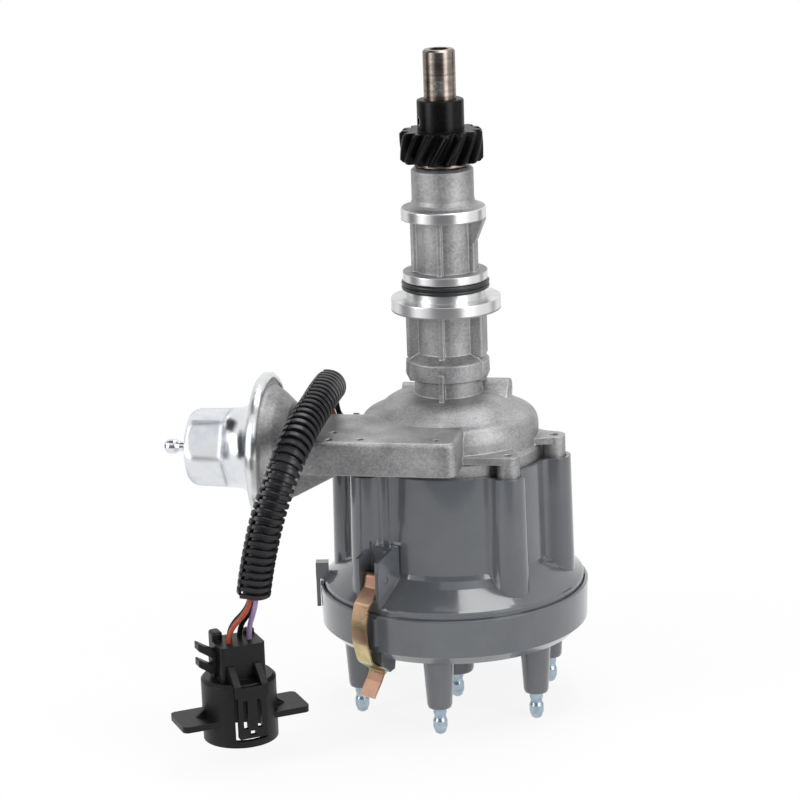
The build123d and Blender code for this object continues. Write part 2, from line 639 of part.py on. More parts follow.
def pickup_coil():
    high = stator_levels()[0] - 2.6
    low = pole_levels()[1]
    body = ring(27.0, 20.5, low, high)
    return body + block((-8.0, 8.0), (22.0, 28.5), (low, high)) - disc(20.5, low, high)


def pole_ring():
    low, high = pole_levels()
    tips_r = RELUCTOR_R + POLE_GAP
    plate = Circle(26.0) - Circle(22.0)
    for tooth in range(TOWER_COUNT):
        bar = Pos((tips_r + 23.0) / 2, 0) * Rectangle(23.0 - tips_r, 3.2)
        plate += Rot(0, 0, 30 + tooth * 360 / TOWER_COUNT) * bar
    return Pos(0, 0, low) * extrude(plate, high - low)


# Vacuum unit

def vacuum_screw_places():
    return ((-48.0, -36.0), (-48.0, -20.0))


def vacuum_body():
    """The cast cone that closes the can, with the tongue screwed under the arm."""
    rim = -CAN_JOINT_X
    flange_r = CAN_RIM_R - 2.2
    cone = turned([(0, rim), (flange_r, rim), (flange_r, rim - 1.4), (flange_r - 2.8, rim - 1.4),
                   (flange_r - 3.4, rim - 3.0), (flange_r - 6.0, rim - 7.0), (flange_r - 10.8, rim - 12.2),
                   (flange_r - 15.8, -ARM_LEFT_X), (0, -ARM_LEFT_X)], [(5, 8.0)])
    hollow = turned([(0, rim), (flange_r - 3.8, rim), (flange_r - 12.8, rim - 9.5), (9.0, rim - 11.0), (0, rim - 11.0)])
    body = along_x(cone - hollow, CAN_Y, CAN_Z)
    body -= block((-90, ARM_LEFT_X), (CAN_Y - 5.0, CAN_Y + 5.0), (CHANNEL_Z[0], CHANNEL_Z[1] - 1.0))
    top = ARM_BOTTOM_Z
    side = Polyline((-64.0, top), (-41.5, top), (-41.5, top - 4.0), (-62.0, top - 15.0), (-70.0, top - 18.0),
                    (-70.0, top - 6.0), (-64.0, top - 4.0), close=True)
    tongue = Pos(0, (-42.0 - 14.0) / 2, 0) * extrude(Plane.XZ * make_face(side), 14.0, both=True)
    for x, y in vacuum_screw_places():
        tongue -= disc(4.2, top - 20, top - 3.2, x, y)
        tongue -= disc(1.8 + THREAD_GAP, top - 20, top, x, y)
    return body + tongue - along_x(hollow, CAN_Y, CAN_Z)


def vacuum_screws():
    return [screw(x, y, ARM_BOTTOM_Z - 3.2, 1.8, 3.6, 2.4, 4.9) for x, y in vacuum_screw_places()]


def vacuum_cover():
    """The pressed steel cover: nose, flare and the rim rolled over the cast flange."""
    rim = -CAN_JOINT_X
    front = -NOSE_FRONT_X
    outer = [(0, front), (NOSE_R, front), (NOSE_R + 0.9, rim + 4.5), (CAN_RIM_R - 3.4, rim + 2.9),
             (CAN_RIM_R - 1.0, rim + 2.6), (CAN_RIM_R, rim + 1.2), (CAN_RIM_R, rim - 1.0), (CAN_RIM_R - 1.0, rim - 2.2),
             (CAN_RIM_R - 2.2, rim - 2.2), (CAN_RIM_R - 2.2, rim + SHEET_THICKNESS), (0, rim + SHEET_THICKNESS)]
    inner = [(0, front - CAN_SHEET), (NOSE_R - 0.9, front - CAN_SHEET), (NOSE_R + 0.1, rim + 3.6),
             (CAN_RIM_R - 4.5, rim + 1.9), (CAN_RIM_R - 4.5, rim), (0, rim)]
    shell = nose_flats(turned(outer, [(1, 5.0), (2, 11.0)]), NOSE_R - NOSE_FLAT_DEPTH)
    shell -= nose_flats(turned(inner, [(1, 4.0), (2, 11.8)]), NOSE_R - NOSE_FLAT_DEPTH - 0.9)
    shell -= disc(3.0, rim, front + 1)
    return along_x(shell, CAN_Y, CAN_Z)


def nose_flats(solid, plane_r):
    """Press six flats into the nose; each runs out above the flare."""
    rim = -CAN_JOINT_X
    front = -NOSE_FRONT_X
    side = Polyline((plane_r, rim + 17.5), (plane_r + 9, rim + 12.5), (plane_r + 9, front + 2), (plane_r, front + 2),
                    close=True)
    cut = extrude(Plane.XZ * make_face(side), NOSE_R, both=True)
    for number in range(6):
        solid -= Rot(0, 0, 60 * number + 56) * cut
    return solid


def hose_nipple():
    front = -NOSE_FRONT_X
    end = -NIPPLE_END_X
    outline = [(1.2, front - 1.6), (4.4, front - 1.6), (4.4, front - CAN_SHEET), (3.0, front - CAN_SHEET),
               (3.0, front + 0.8), (STEM_R, front + 1.2), (STEM_R, end - 7.0), (STEM_R + 0.4, end - 6.3),
               (BEAD_R - 0.2, end - 5.4), (BEAD_R, end - BEAD_LAND[0]), (BEAD_R, end - BEAD_LAND[1]),
               (BEAD_R - 0.3, end - 1.4), (BEAD_R - 1.0, end - 0.5), (BEAD_R - 1.8, end), (1.2, end)]
    return along_x(turned(outline), CAN_Y, CAN_Z)


def vacuum_spring():
    """The diaphragm spring, drawn as the tube that its coils fill."""
    rim = -CAN_JOINT_X
    back = rim + LINK_PLATE_Z[1]
    front = -NOSE_FRONT_X - CAN_SHEET
    tube = turned([(7.0, back), (8.4, back), (8.4, front), (7.0, front)])
    return along_x(tube, CAN_Y, CAN_Z)


def diaphragm():
    """The rubber sheet clamped between cone and cover, with one roll around its middle."""
    rim = -CAN_JOINT_X
    thick = SHEET_THICKNESS
    sheet = turned([(12.0, rim), (19.0, rim), (21.5, rim + 2.2), (24.5, rim), (CAN_RIM_R - 2.2, rim),
                    (CAN_RIM_R - 2.2, rim + thick), (24.8, rim + thick), (21.5, rim + 3.3), (18.7, rim + thick),
                    (12.0, rim + thick)])
    return along_x(sheet, CAN_Y, CAN_Z)


def vacuum_link():
    """The flat rod from the diaphragm plates to the stator plate's pin."""
    rim = -CAN_JOINT_X
    back, front = LINK_PLATE_Z
    thick = SHEET_THICKNESS
    plates = turned([(0, rim + back), (14.4, rim + back), (14.4, rim), (11.95, rim), (11.95, rim + thick),
                     (14.4, rim + thick), (14.4, rim + front), (6.0, rim + front), (6.0, rim + front + 1.6),
                     (0, rim + front + 1.6)])
    pin_x, pin_y = polar(LINK_PIN_CIRCLE_R, -90 + STATOR_SWING_DEG / 2)
    low, high = LINK_Z
    rod = block((CAN_JOINT_X + 1.0, pin_x - 2.6), (CAN_Y - 2.4, CAN_Y + 1.2), (low, high))
    eye = disc(3.6, low, high, pin_x, pin_y)
    hole = disc(LINK_PIN_R + FREE_GAP, low, high, pin_x, pin_y)
    return along_x(plates, CAN_Y, CAN_Z) + rod + eye - hole


# Cap adapter

def neck_outline(grow):
    """The six-lobed plan of the neck, grown or shrunk by a wall."""
    outline = Circle(NECK_OUTER_R + grow)
    for degrees in LOBE_ANGLES:
        outline += Pos(*polar(EAR_CIRCLE_R, degrees)) * Circle(LOBE_R + grow)
    return fillet(outline.vertices(), 3.4 - grow * 0.6)


def clip_bracket(degrees):
    """The two cheeks and back wall that hold a clip's pivot."""
    half = CLIP_WIDTH / 2 + FREE_GAP + BRACKET_WALL
    inner_z, outer_z = BRACKET_TOP_Z
    root_r = NECK_OUTER_R + 0.7
    side = Polyline((root_r, inner_z), (root_r + 4.0, inner_z), (BRACKET_R, outer_z), (BRACKET_R, SKIRT_EDGE_Z - 0.4),
                    (root_r, SKIRT_EDGE_Z - 0.4), close=True)
    return extrude(radial_plane(degrees) * make_face(side), half, both=True)


def clip_slot(degrees):
    half = CLIP_WIDTH / 2 + FREE_GAP
    back_r = CLIP_PIVOT[0] - 3.2
    front_r = BRACKET_R + 6.4
    side = Polyline((back_r, BRACKET_TOP_Z[0] + 2), (front_r, BRACKET_TOP_Z[0] + 2), (front_r, SKIRT_EDGE_Z + 3.8),
                    (BRACKET_R - 0.6, SKIRT_EDGE_Z + 3.8), (back_r, SKIRT_EDGE_Z + 9.0), close=True)
    return extrude(radial_plane(degrees) * make_face(side), half, both=True)


def cap_adapter():
    """The tall grey moulding: lobed neck, flared skirt, lip inside the cap rim, shelf for the bowl."""
    neck_height = ADAPTER_TOP_Z - SKIRT_EDGE_Z
    neck = Pos(0, 0, SKIRT_EDGE_Z) * extrude(neck_outline(0.8), neck_height, taper=1.0)
    skirt = turned([(0, SKIRT_ROOT_Z + 3), (NECK_OUTER_R, SKIRT_ROOT_Z + 3), (NECK_OUTER_R + 1.4, SKIRT_ROOT_Z - 0.6),
                    (NECK_OUTER_R + 4.4, SKIRT_ROOT_Z - 3.4), (SKIRT_R - 1.6, SKIRT_EDGE_Z + 0.7),
                    (SKIRT_R - 0.5, SKIRT_EDGE_Z),
                    (SKIRT_R, SKIRT_EDGE_Z - 0.7), (SKIRT_R, SEAT_Z), (0, SEAT_Z)])
    body = neck + skirt
    for degrees in CLIP_ANGLES:
        body += clip_bracket(degrees)
    inside = Pos(0, 0, SKIRT_EDGE_Z + 6) * extrude(neck_outline(-NECK_WALL), neck_height - 6)
    inside += turned([(0, SKIRT_ROOT_Z), (NECK_OUTER_R - NECK_WALL, SKIRT_ROOT_Z), (SKIRT_R - 4.2, SKIRT_EDGE_Z - 1.6),
                      (SKIRT_R - 2.6, SKIRT_EDGE_Z - 4), (SKIRT_R - 2.6, SEAT_Z), (0, SEAT_Z)])
    for degrees in CLIP_ANGLES:
        backing = block((CLIP_PIVOT[0] - 6.9, CAP_R + 9.0), (-CLIP_WIDTH, CLIP_WIDTH),
                        (SKIRT_EDGE_Z + 1.0, ADAPTER_TOP_Z))
        inside -= Rot(0, 0, degrees) * backing
    shelf_low = BOWL_RIM_Z - SHELF_THICKNESS
    shelf = Pos(0, 0, shelf_low) * extrude(neck_outline(-1.0), SHELF_THICKNESS)
    body = body - inside + (shelf - disc(SHELF_HOLE_R, shelf_low, BOWL_RIM_Z))
    for degrees in EAR_ANGLES:
        x, y = polar(EAR_CIRCLE_R, degrees)
        body -= disc(SCREW_R + 0.2, shelf_low, BOWL_RIM_Z, x, y)
    for degrees in CLIP_ANGLES:
        body -= clip_slot(degrees)
        body -= clip_place(degrees) * Cylinder(CLIP_PIN_R, 2 * CLIP_WIDTH)
    return body + locating_key()


def locating_key():
    """The tongue beside the left rim that lines the adapter up with the cap."""
    outer_r = CAP_R + 1.9
    tongue = block((SKIRT_R - 2.0, outer_r), (-2.6, 2.6), (SKIRT_EDGE_Z - 1.6, SKIRT_EDGE_Z + 6.0))
    blade = block((CAP_R + RIM_GAP, outer_r), (-1.8, 1.8), (CAP_TOP_Z - 12.0, SKIRT_EDGE_Z + 2.0))
    return Rot(0, 0, -171) * (tongue + blade)


def clip_place(degrees):
    """Where a clip's pivot pin lies, along the rim."""
    radius, z = CLIP_PIVOT
    return Rot(0, 0, degrees) * Pos(radius, 0, z) * Rot(90, 0, 0)


def clip_pins():
    length = CLIP_WIDTH + 2 * FREE_GAP + 2 * BRACKET_WALL - 0.4
    return [clip_place(degrees) * Cylinder(CLIP_PIN_R, length) for degrees in CLIP_ANGLES]


def clip(degrees):
    """A spring strap curled round its pin, bowed past the rim and hooked under the cap's boss."""
    radius, z = CLIP_PIVOT
    curl_r = CLIP_PIN_R + PIVOT_GAP + CLIP_THICKNESS
    start = (radius + curl_r - CLIP_THICKNESS / 2, z)
    line = FilletPolyline(start, *CLIP_POINTS, radius=list(CLIP_BENDS))
    strap = extrude(radial_plane(degrees) * trace(line, CLIP_THICKNESS), CLIP_WIDTH / 2, both=True)
    curl = clip_place(degrees) * (Cylinder(curl_r, CLIP_WIDTH))
    bore = clip_place(degrees) * Cylinder(CLIP_PIN_R + PIVOT_GAP, 2 * CLIP_WIDTH)
    return strap + curl - bore


# Cap

def tower_places():
    return [polar(TOWER_CIRCLE_R, FIRST_TOWER_ANGLE + number * 360 / TOWER_COUNT) for number in range(TOWER_COUNT)]


def tower():
    return turned([(0, CAP_FACE_Z + 1), (TOWER_BASE_R, CAP_FACE_Z + 1), (TOWER_TIP_R + 0.35, TOWER_TIP_Z + 1.2),
                   (TOWER_TIP_R, TOWER_TIP_Z), (0, TOWER_TIP_Z)])


def distributor_cap():
    """The moulded cap: a shallow dish with a rim band, six plug towers and the coil tower."""
    dish = turned([(0, CAP_TOP_Z), (CAP_R - 0.5, CAP_TOP_Z), (CAP_R, CAP_TOP_Z - 0.5), (CAP_R - 0.5, CAP_RIM_BOTTOM_Z),
                   (CAP_R - 5.0, CAP_FACE_Z), (0, CAP_FACE_Z)])
    rebate_r = SKIRT_R + MOULD_GAP
    floor = CAP_FACE_Z + CAP_WALL
    hollow = turned([(0, CAP_TOP_Z), (rebate_r, CAP_TOP_Z), (rebate_r, SEAT_Z), (CAP_R - 6.0, SEAT_Z),
                     (CAP_R - 7.5, floor), (0, floor)])
    body = dish - hollow
    centre = turned([(0, floor), (8.5, floor), (8.0, TOWER_TIP_Z + 1.2), (7.6, TOWER_TIP_Z), (0, TOWER_TIP_Z)])
    body += centre - disc(TERMINAL_ROOT_R, TOWER_TIP_Z, TOWER_TIP_Z + 8) - disc(BRUSH_R + PIVOT_GAP, TOWER_TIP_Z, floor)
    bore = disc(TERMINAL_CORE_R, TOWER_TIP_Z, floor + 1)
    for x, y in tower_places():
        body += Pos(x, y, 0) * tower()
        body -= Pos(x, y, 0) * bore
    for degrees in CLIP_ANGLES:
        body += Rot(0, 0, degrees) * (latch_boss() + strap_guides())
    return body - disc(BRUSH_R + PIVOT_GAP, TOWER_TIP_Z, floor)


def latch_boss():
    """The block under the rim that a clip snaps over."""
    low = CLIP_POINTS[5][1] + CLIP_THICKNESS / 2 + FREE_GAP
    half = BOSS_WIDTH / 2
    front_r = CAP_R - 2.26
    side = Polyline((front_r - 9.8, CAP_FACE_Z + 1), (front_r, CAP_FACE_Z + 3), (front_r - 0.4, low + 4.0),
                    (front_r - 1.8, low + 2.2), (front_r - 4.6, low + 0.2), (front_r - 5.2, low - 0.8),
                    (front_r - 8.6, low), close=True)
    return extrude(Plane.XZ * make_face(side), half, both=True)


def strap_guides():
    """Two thin ribs on the rim band, one on each side of a clip's strap."""
    guides = Part()
    near = CLIP_WIDTH / 2 + 0.5
    for side in (-1, 1):
        low_y, high_y = sorted((side * near, side * (near + 1.2)))
        guides += block((CAP_R - 1.5, CAP_R + 1.2), (low_y, high_y), (CAP_TOP_Z - 14.2, CAP_TOP_Z - 1.2))
    return guides


def snap_terminal(radius):
    """The (radius, z) outline of a snap-on terminal, from the tower tip down to the floor."""
    tip = TOWER_TIP_Z
    return [(TERMINAL_ROOT_R, tip), (TERMINAL_ROOT_R, tip - 3.0), (radius - 0.6, tip - 4.2),
            (radius - 0.5, tip - 5.2),
            (radius, tip - 6.6), (radius, tip - 9.6), (radius - 0.9, FLOOR_Z + 0.8), (radius - 2.0, FLOOR_Z), (0, FLOOR_Z)]


def plug_terminals():
    """Six snap terminals, each in one piece with its shank through the tower and its inner electrode."""
    floor = CAP_FACE_Z + CAP_WALL
    shank = [(0, floor), (TERMINAL_CORE_R, floor), (TERMINAL_CORE_R, TOWER_TIP_Z)]
    terminals = []
    for number, (x, y) in enumerate(tower_places()):
        stud = turned(shank + snap_terminal(TERMINAL_R))
        electrode = block((ELECTRODE_INNER_R, ELECTRODE_OUTER_R), (-2.2, 2.2), (floor, floor + 10.0))
        turn = Rot(0, 0, FIRST_TOWER_ANGLE + number * 360 / TOWER_COUNT)
        terminals.append(Pos(x, y, 0) * stud + turn * electrode)
    return terminals


def coil_terminal():
    """The centre terminal, with the cup that the brush spring pushes against."""
    top = TOWER_TIP_Z + 8
    body = turned([(0, top), (TERMINAL_ROOT_R, top)] + snap_terminal(TERMINAL_R))
    return body


def brush_levels():
    contact = ROTOR_HEAD_Z[0] - 1.9
    return contact - FREE_GAP - 9.0, contact - FREE_GAP


def carbon_brush():
    low, high = brush_levels()
    return turned([(0, low), (BRUSH_R, low), (BRUSH_R, high - 0.6), (BRUSH_R - 0.6, high), (0, high)])


def brush_spring():
    """The light spring behind the brush, drawn as the tube that its coils fill."""
    return ring(BRUSH_R - 0.3, BRUSH_R - 0.9, TOWER_TIP_Z + 8 + 0.2, brush_levels()[0] - 0.2)


# Harness

def grommet_place():
    x, y = polar(BOWL_R, GROMMET_ANGLE)
    return Pos(x, y, GROMMET_Z) * Rot(0, 0, GROMMET_ANGLE) * Rot(0, 90, 0)


def harness_grommet():
    """The rubber bush where the wires leave the bowl."""
    stem = Pos(0, 0, -1.0) * Cylinder(GROMMET_R - 1.2, 7.0)
    flange = Pos(0, 0, 2.2) * Cylinder(GROMMET_R, 2.4)
    return grommet_place() * (stem + flange)


def tube_path(points):
    """Straight runs joined by arcs as large as the runs allow; prints the radii."""
    radii = []
    for before, here, after in zip(points, points[1:], points[2:]):
        first = Vector(*here) - Vector(*before)
        second = Vector(*after) - Vector(*here)
        turn = math.radians(first.get_angle(second))
        radii.append(0.45 * min(first.length, second.length) / math.tan(turn / 2))
    print("bend radii", [round(radius, 1) for radius in radii])
    return FilletPolyline(*points, radius=radii)


def tube(points, outer, inner=0.0):
    path = tube_path(points)
    section = Circle(outer) - Circle(inner) if inner else Circle(outer)
    return sweep(Plane(origin=path @ 0, z_dir=path % 0) * section, path=path)


def loom():
    return tube(LOOM_POINTS, LOOM_R, LOOM_BORE_R)


def beside(points, bearing):
    """The same route set off sideways; the bundle turns by the twist on its way down the loom."""
    aside = Vector(0, 0, 1)
    inside_loom = len(LOOM_POINTS) - 1
    shifted = []
    for number, point in enumerate(points):
        before = Vector(*points[max(number - 1, 0)])
        after = Vector(*points[min(number + 1, len(points) - 1)])
        along = (after - before).normalized()
        aside = (aside - along * aside.dot(along)).normalized()
        across = along.cross(aside)
        share = min(max(number - len(WIRE_START), 0) / inside_loom, 1)
        x, y = polar(WIRE_SPREAD, bearing + WIRE_TWIST * (1 - share))
        place = Vector(*point) + aside * x + across * y
        shifted.append((place.X, place.Y, place.Z))
    return shifted


def wire(number):
    """One wire from the grommet, through the loom, into the connector."""
    inside = [tuple(Vector(*point) + Vector(*WIRE_SAG)) for point in LOOM_POINTS[1:-1]]
    middle = [*WIRE_START, LOOM_POINTS[0], *inside, LOOM_POINTS[-1], *WIRE_END]
    shared = beside(middle, WIRE_BEARINGS[number])
    return tube(shared + list(WIRE_TAILS[number]), WIRE_R)


def plug_frame():
    return Pos(PLUG_X, PLUG_Y, 0) * Rot(0, 0, PLUG_TURN)


def wire_entries():
    """Where the wires enter the block: orange, purple and the two black ones."""
    return [tail[-1][:2] for tail in WIRE_TAILS]


def connector_wings():
    """The flat wing on each side, with a gusset above and below its root."""
    wing = block((-WING_REACH, WING_REACH), (-WING_WIDTH / 2, WING_WIDTH / 2), (WING_TOP_Z - WING_THICKNESS, WING_TOP_Z))
    wing = fillet(wing.edges().filter_by(Axis.Z), 2.6)
    for side in (-1, 1):
        near = side * (PLUG_R - 2.0)
        far = side * (PLUG_R + 4.6)
        gusset = Polyline((near, WING_TOP_Z + 5.0), (far, WING_TOP_Z - 0.4), (far, WING_TOP_Z - WING_THICKNESS + 0.4),
                          (near, WING_TOP_Z - WING_THICKNESS - 5.0), close=True)
        wing += extrude(Plane.XZ * make_face(gusset), 1.0, both=True)
    return wing - disc(PLUG_R - 1.0, PLUG_BOTTOM_Z, PLUG_TOP_Z)


def connector_block():
    """The block that takes the wires, with two rounded humps at its back corners."""
    half_x, half_y = BLOCK_SIZE[0] / 2, BLOCK_SIZE[1] / 2
    top = block((-half_x, half_x), (-half_y, half_y), (PLUG_TOP_Z, BLOCK_TOP_Z))
    top = fillet(top.edges().filter_by(Axis.Z), 1.8)
    for low_x, high_x, low_y, rise in ((-half_x, -half_x + 4.8, 1.5, 4.0), (half_x - 5.0, half_x, 4.6, 2.4)):
        hump = block((low_x, high_x), (low_y, half_y), (BLOCK_TOP_Z - 4.0, BLOCK_TOP_Z + rise))
        hump = fillet(hump.edges().filter_by(Axis.Z), 1.6)
        top += fillet(hump.faces().sort_by(Axis.Z)[-1].edges(), 1.2)
    return top


def connector_latch():
    """The raised panel in the front window, with its slots, and the two straps up to the block."""
    front = -PLUG_R
    half_y = BLOCK_SIZE[1] / 2
    panel = block((-6.4, 6.4), (front - 0.9, front + 1.2), (PLUG_BOTTOM_Z + 4.6, PLUG_TOP_Z - 0.6))
    panel = fillet(panel.edges().filter_by(Axis.Y), 0.8)
    for low_x, high_x in ((-4.2, -2.2), (2.2, 4.2)):
        panel -= block((low_x, high_x), (front - 2, front + 4.0), (PLUG_BOTTOM_Z + 9.0, PLUG_BOTTOM_Z + 22.0))
    panel -= block((-1.2, 1.2), (front - 2, front + 4.0), (PLUG_BOTTOM_Z + 6.0, PLUG_BOTTOM_Z + 8.0))
    for low_x, high_x in ((-7.6, -4.6), (4.6, 7.6)):
        strap = Polyline((front - 0.9, PLUG_TOP_Z - 5.0), (front - 0.9, PLUG_TOP_Z + 0.4),
                         (-half_y - 1.0, PLUG_TOP_Z + 7.0), (-half_y + 1.0, PLUG_TOP_Z + 7.0),
                         (-half_y + 1.0, PLUG_TOP_Z - 5.0), close=True)
        sheet = make_face(strap)
        panel += Pos((low_x + high_x) / 2, 0, 0) * extrude(Plane.YZ * sheet, (high_x - low_x) / 2, both=True)
    return panel


def connector_body():
    """The round female half: block for the wires, open socket below, two wings and a latch in a window."""
    shell = turned([(0, PLUG_BOTTOM_Z), (PLUG_R, PLUG_BOTTOM_Z), (PLUG_R, PLUG_TOP_Z - 1.4),
                    (PLUG_R - 1.4, PLUG_TOP_Z), (0, PLUG_TOP_Z)])
    socket = disc(PLUG_R - PLUG_WALL, PLUG_BOTTOM_Z, PLUG_TOP_Z - PLUG_ROOF)
    window = block((-7.2, 7.2), (-PLUG_R - 1, -PLUG_R + 4.0), (PLUG_BOTTOM_Z + 3.0, PLUG_TOP_Z - PLUG_ROOF - 1.0))
    rear = block((-2.0, 2.0), (PLUG_R - 4.0, PLUG_R + 1.0), (PLUG_BOTTOM_Z + 6.0, PLUG_BOTTOM_Z + 16.0))
    body = shell + connector_wings() + connector_block() - window - rear + connector_latch() - socket
    body = plug_frame() * body
    for x, y in wire_entries():
        body -= disc(CONTACT_R, PLUG_TOP_Z - PLUG_ROOF, BLOCK_TOP_Z, x, y)
    return body


def connector_terminals():
    """Four contacts hanging in the connector's cavity, fixed in its roof below the wires."""
    contacts = []
    roof = PLUG_TOP_Z - PLUG_ROOF
    for x, y in wire_entries():
        contacts.append(disc(CONTACT_R, roof, BLOCK_TOP_Z, x, y) + disc(CONTACT_R + 0.4, roof - 9.0, roof, x, y))
    return contacts


def connector_lock():
    """The wedge lock with two finger tabs at the side of the block."""
    edge = -BLOCK_SIZE[0] / 2
    tabs = Part()
    for rise in (0.0, 7.4):
        low = PLUG_TOP_Z + rise
        side = Polyline((edge, low + 1.2), (edge - 8.0, low + 6.6), (edge - 8.0, low + 10.2), (edge, low + 5.2), close=True)
        tabs += extrude(Plane.XZ * make_face(side), 2.6, both=True)
    tie = block((edge - 1.8, edge), (-3.2, 3.2), (PLUG_TOP_Z + 1.2, PLUG_TOP_Z + 12.6))
    return plug_frame() * (fillet(tabs.edges().filter_by(Axis.Y), 0.5) + tie)


save("housing", housing())
save("upper_bushing", bushing(NECK_TOP_Z - UPPER_BUSHING_LENGTH, NECK_TOP_Z))
save("lower_bushing", bushing(CEILING_Z, CEILING_Z + LOWER_BUSHING_LENGTH))
save("o_ring", o_ring())
save("shaft", shaft())
save("drive_gear", drive_gear())
save("gear_roll_pin", gear_roll_pin())
save("thrust_washer", thrust_washer())
save("weight_plate", weight_plate())
save("weight_a", advance_weight(90))
save("weight_b", advance_weight(270))
save("advance_springs", Compound(children=advance_springs()))
save("advance_sleeve", advance_sleeve())
save("sleeve_retainer", sleeve_retainer())
save("reluctor", reluctor())
save("rotor", rotor())
save("rotor_contact", rotor_contact())
save("base_plate", base_plate())
save("base_plate_screws", Compound(children=base_plate_screws()))
save("stator_plate", stator_plate())
save("stator_retainer", stator_retainer())
save("magnet_ring", magnet_ring())
save("pickup_coil", pickup_coil())
save("pole_ring", pole_ring())
save("vacuum_body", vacuum_body())
save("vacuum_cover", vacuum_cover())
save("hose_nipple", hose_nipple())
save("vacuum_screws", Compound(children=vacuum_screws()))
save("vacuum_spring", vacuum_spring())
save("diaphragm", diaphragm())
save("vacuum_link", vacuum_link())
save("cap_adapter", cap_adapter())
save("adapter_screws", Compound(children=adapter_screws()))
save("distributor_cap", distributor_cap())
save("plug_terminals", Compound(children=plug_terminals()))
save("coil_terminal", coil_terminal())
save("carbon_brush", carbon_brush())
save("brush_spring", brush_spring())
save("clip_front", clip(CLIP_ANGLES[0]))
save("clip_rear", clip(CLIP_ANGLES[1]))
save("clip_pins", Compound(children=clip_pins()))
save("harness_grommet", harness_grommet())
save("loom", loom())
save("wire_orange", wire(0))
save("wire_purple", wire(1))
save("wire_blacks", Compound(children=[wire(2), wire(3)]))
save("connector_body", connector_body())
save("connector_terminals", Compound(children=connector_terminals()))
save("connector_lock", connector_lock())
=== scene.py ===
import math

import bpy
from mathutils import Matrix, Vector


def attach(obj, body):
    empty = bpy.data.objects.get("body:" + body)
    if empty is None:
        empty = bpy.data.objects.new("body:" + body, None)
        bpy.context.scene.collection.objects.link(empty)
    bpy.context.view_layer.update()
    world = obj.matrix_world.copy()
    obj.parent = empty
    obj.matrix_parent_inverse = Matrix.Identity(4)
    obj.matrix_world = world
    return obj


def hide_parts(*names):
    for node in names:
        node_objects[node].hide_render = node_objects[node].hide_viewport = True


# Ignition distributor for an inline six-cylinder engine, dressed over its CAD parts.
# Metres, +Z along the shaft towards the drive gear, z = 0 on the collar face that seats on the engine.
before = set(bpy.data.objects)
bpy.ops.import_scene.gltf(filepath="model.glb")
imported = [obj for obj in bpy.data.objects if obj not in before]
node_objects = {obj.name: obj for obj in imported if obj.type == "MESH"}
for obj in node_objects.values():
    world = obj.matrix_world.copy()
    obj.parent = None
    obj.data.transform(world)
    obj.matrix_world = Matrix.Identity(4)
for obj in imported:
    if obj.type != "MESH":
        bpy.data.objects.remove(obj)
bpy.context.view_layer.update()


# ---------------------------------------------------------------------------
# Camera. It looks 15 degrees down on the distributor from in front, 10 degrees round to the right,
# from far away with a long lens, so the rings stay nearly round and nothing bulges.
floor_z = -0.1896
viewing_turn = math.radians(10)
camera_yaw, camera_dip, camera_roll = -0.0183, 0.2636, -0.0343
camera_reach, camera_height = 1.2, 0.466146  # from the shaft's axis, and above the floor
focal_pixels, image_pixels = 2767, 800
camera_place = (Matrix.Rotation(viewing_turn, 4, "Z") @ Vector((0, -camera_reach, camera_height))
                + Vector((0, 0, floor_z)))
camera_data = bpy.data.cameras.new("camera")
camera_data.sensor_width = 36
camera_data.lens = focal_pixels / image_pixels * camera_data.sensor_width
camera = bpy.data.objects.new("camera", camera_data)
camera.matrix_world = (
    Matrix.Translation(camera_place)
    @ Matrix.Rotation(viewing_turn - camera_yaw, 4, "Z")
    @ Matrix.Rotation(math.pi / 2 - camera_dip, 4, "X")
    @ Matrix.Rotation(camera_roll, 4, "Z")
)
bpy.context.scene.collection.objects.link(camera)
bpy.context.scene.camera = camera


# ---------------------------------------------------------------------------
# Loom. Split corrugated tube of black polypropylene, half-inch trade size, extruded and
# corrugated in one pass. It is bent over the arm and hangs beside the housing; its slit faces left.
loom_route = ((-50.5, -17.0, -37.5), (-50.2, -30.5, -37.0), (-50.8, -45.0, -39.3), (-52.5, -59.0, -42.5),
              (-54.4, -70.5, -47.6), (-57.0, -79.0, -54.8), (-60.4, -84.4, -64.5), (-64.6, -87.3, -77.0),
              (-67.9, -88.2, -90.0), (-70.9, -87.6, -103.0), (-72.6, -86.6, -112.3))
loom_crest_r = 0.0075
loom_groove_r = 0.0059
loom_pitch = 0.0034
loom_wall = 0.00055
loom_slit_bearing = 21
loom_slit_deg = 9
loom_lip = 0.0005  # one edge of the slit stands this much proud
loom_lip_sides = 4  # and over this many sides its corrugations are pulled out of line,
loom_lip_pull = 0.22  # at the edge by this share of a pitch
# share of one pitch along the tube, and how far out of the groove the wall stands there
loom_wave = ((0.0, 0.0), (0.2, 0.0), (0.25, 0.8), (0.33, 1.0), (0.75, 1.0), (0.83, 0.8), (0.88, 0.0))
loom_sides = 56


def metres(point):
    return tuple(value / 1000 for value in point)


def cord_line(name, route):
    """A smooth open spline through a cord's route, in metres, as a curve object."""
    curve = bpy.data.curves.new(name, "CURVE")
    curve.dimensions = "3D"
    curve.resolution_u = 16
    spline = curve.splines.new("NURBS")
    spline.points.add(len(route) - 1)
    for control, point in zip(spline.points, route):
        control.co = (*metres(point), 1)
    spline.order_u = 3
    spline.use_endpoint_u = True
    cord_object = bpy.data.objects.new(name, curve)
    bpy.context.scene.collection.objects.link(cord_object)
    return cord_object


def line_points(cord_object):
    """The spline's own points, read from Blender."""
    bpy.context.view_layer.update()
    mesh = bpy.data.meshes.new_from_object(cord_object)
    points = [vertex.co.copy() for vertex in mesh.vertices]
    bpy.data.meshes.remove(mesh)
    return points


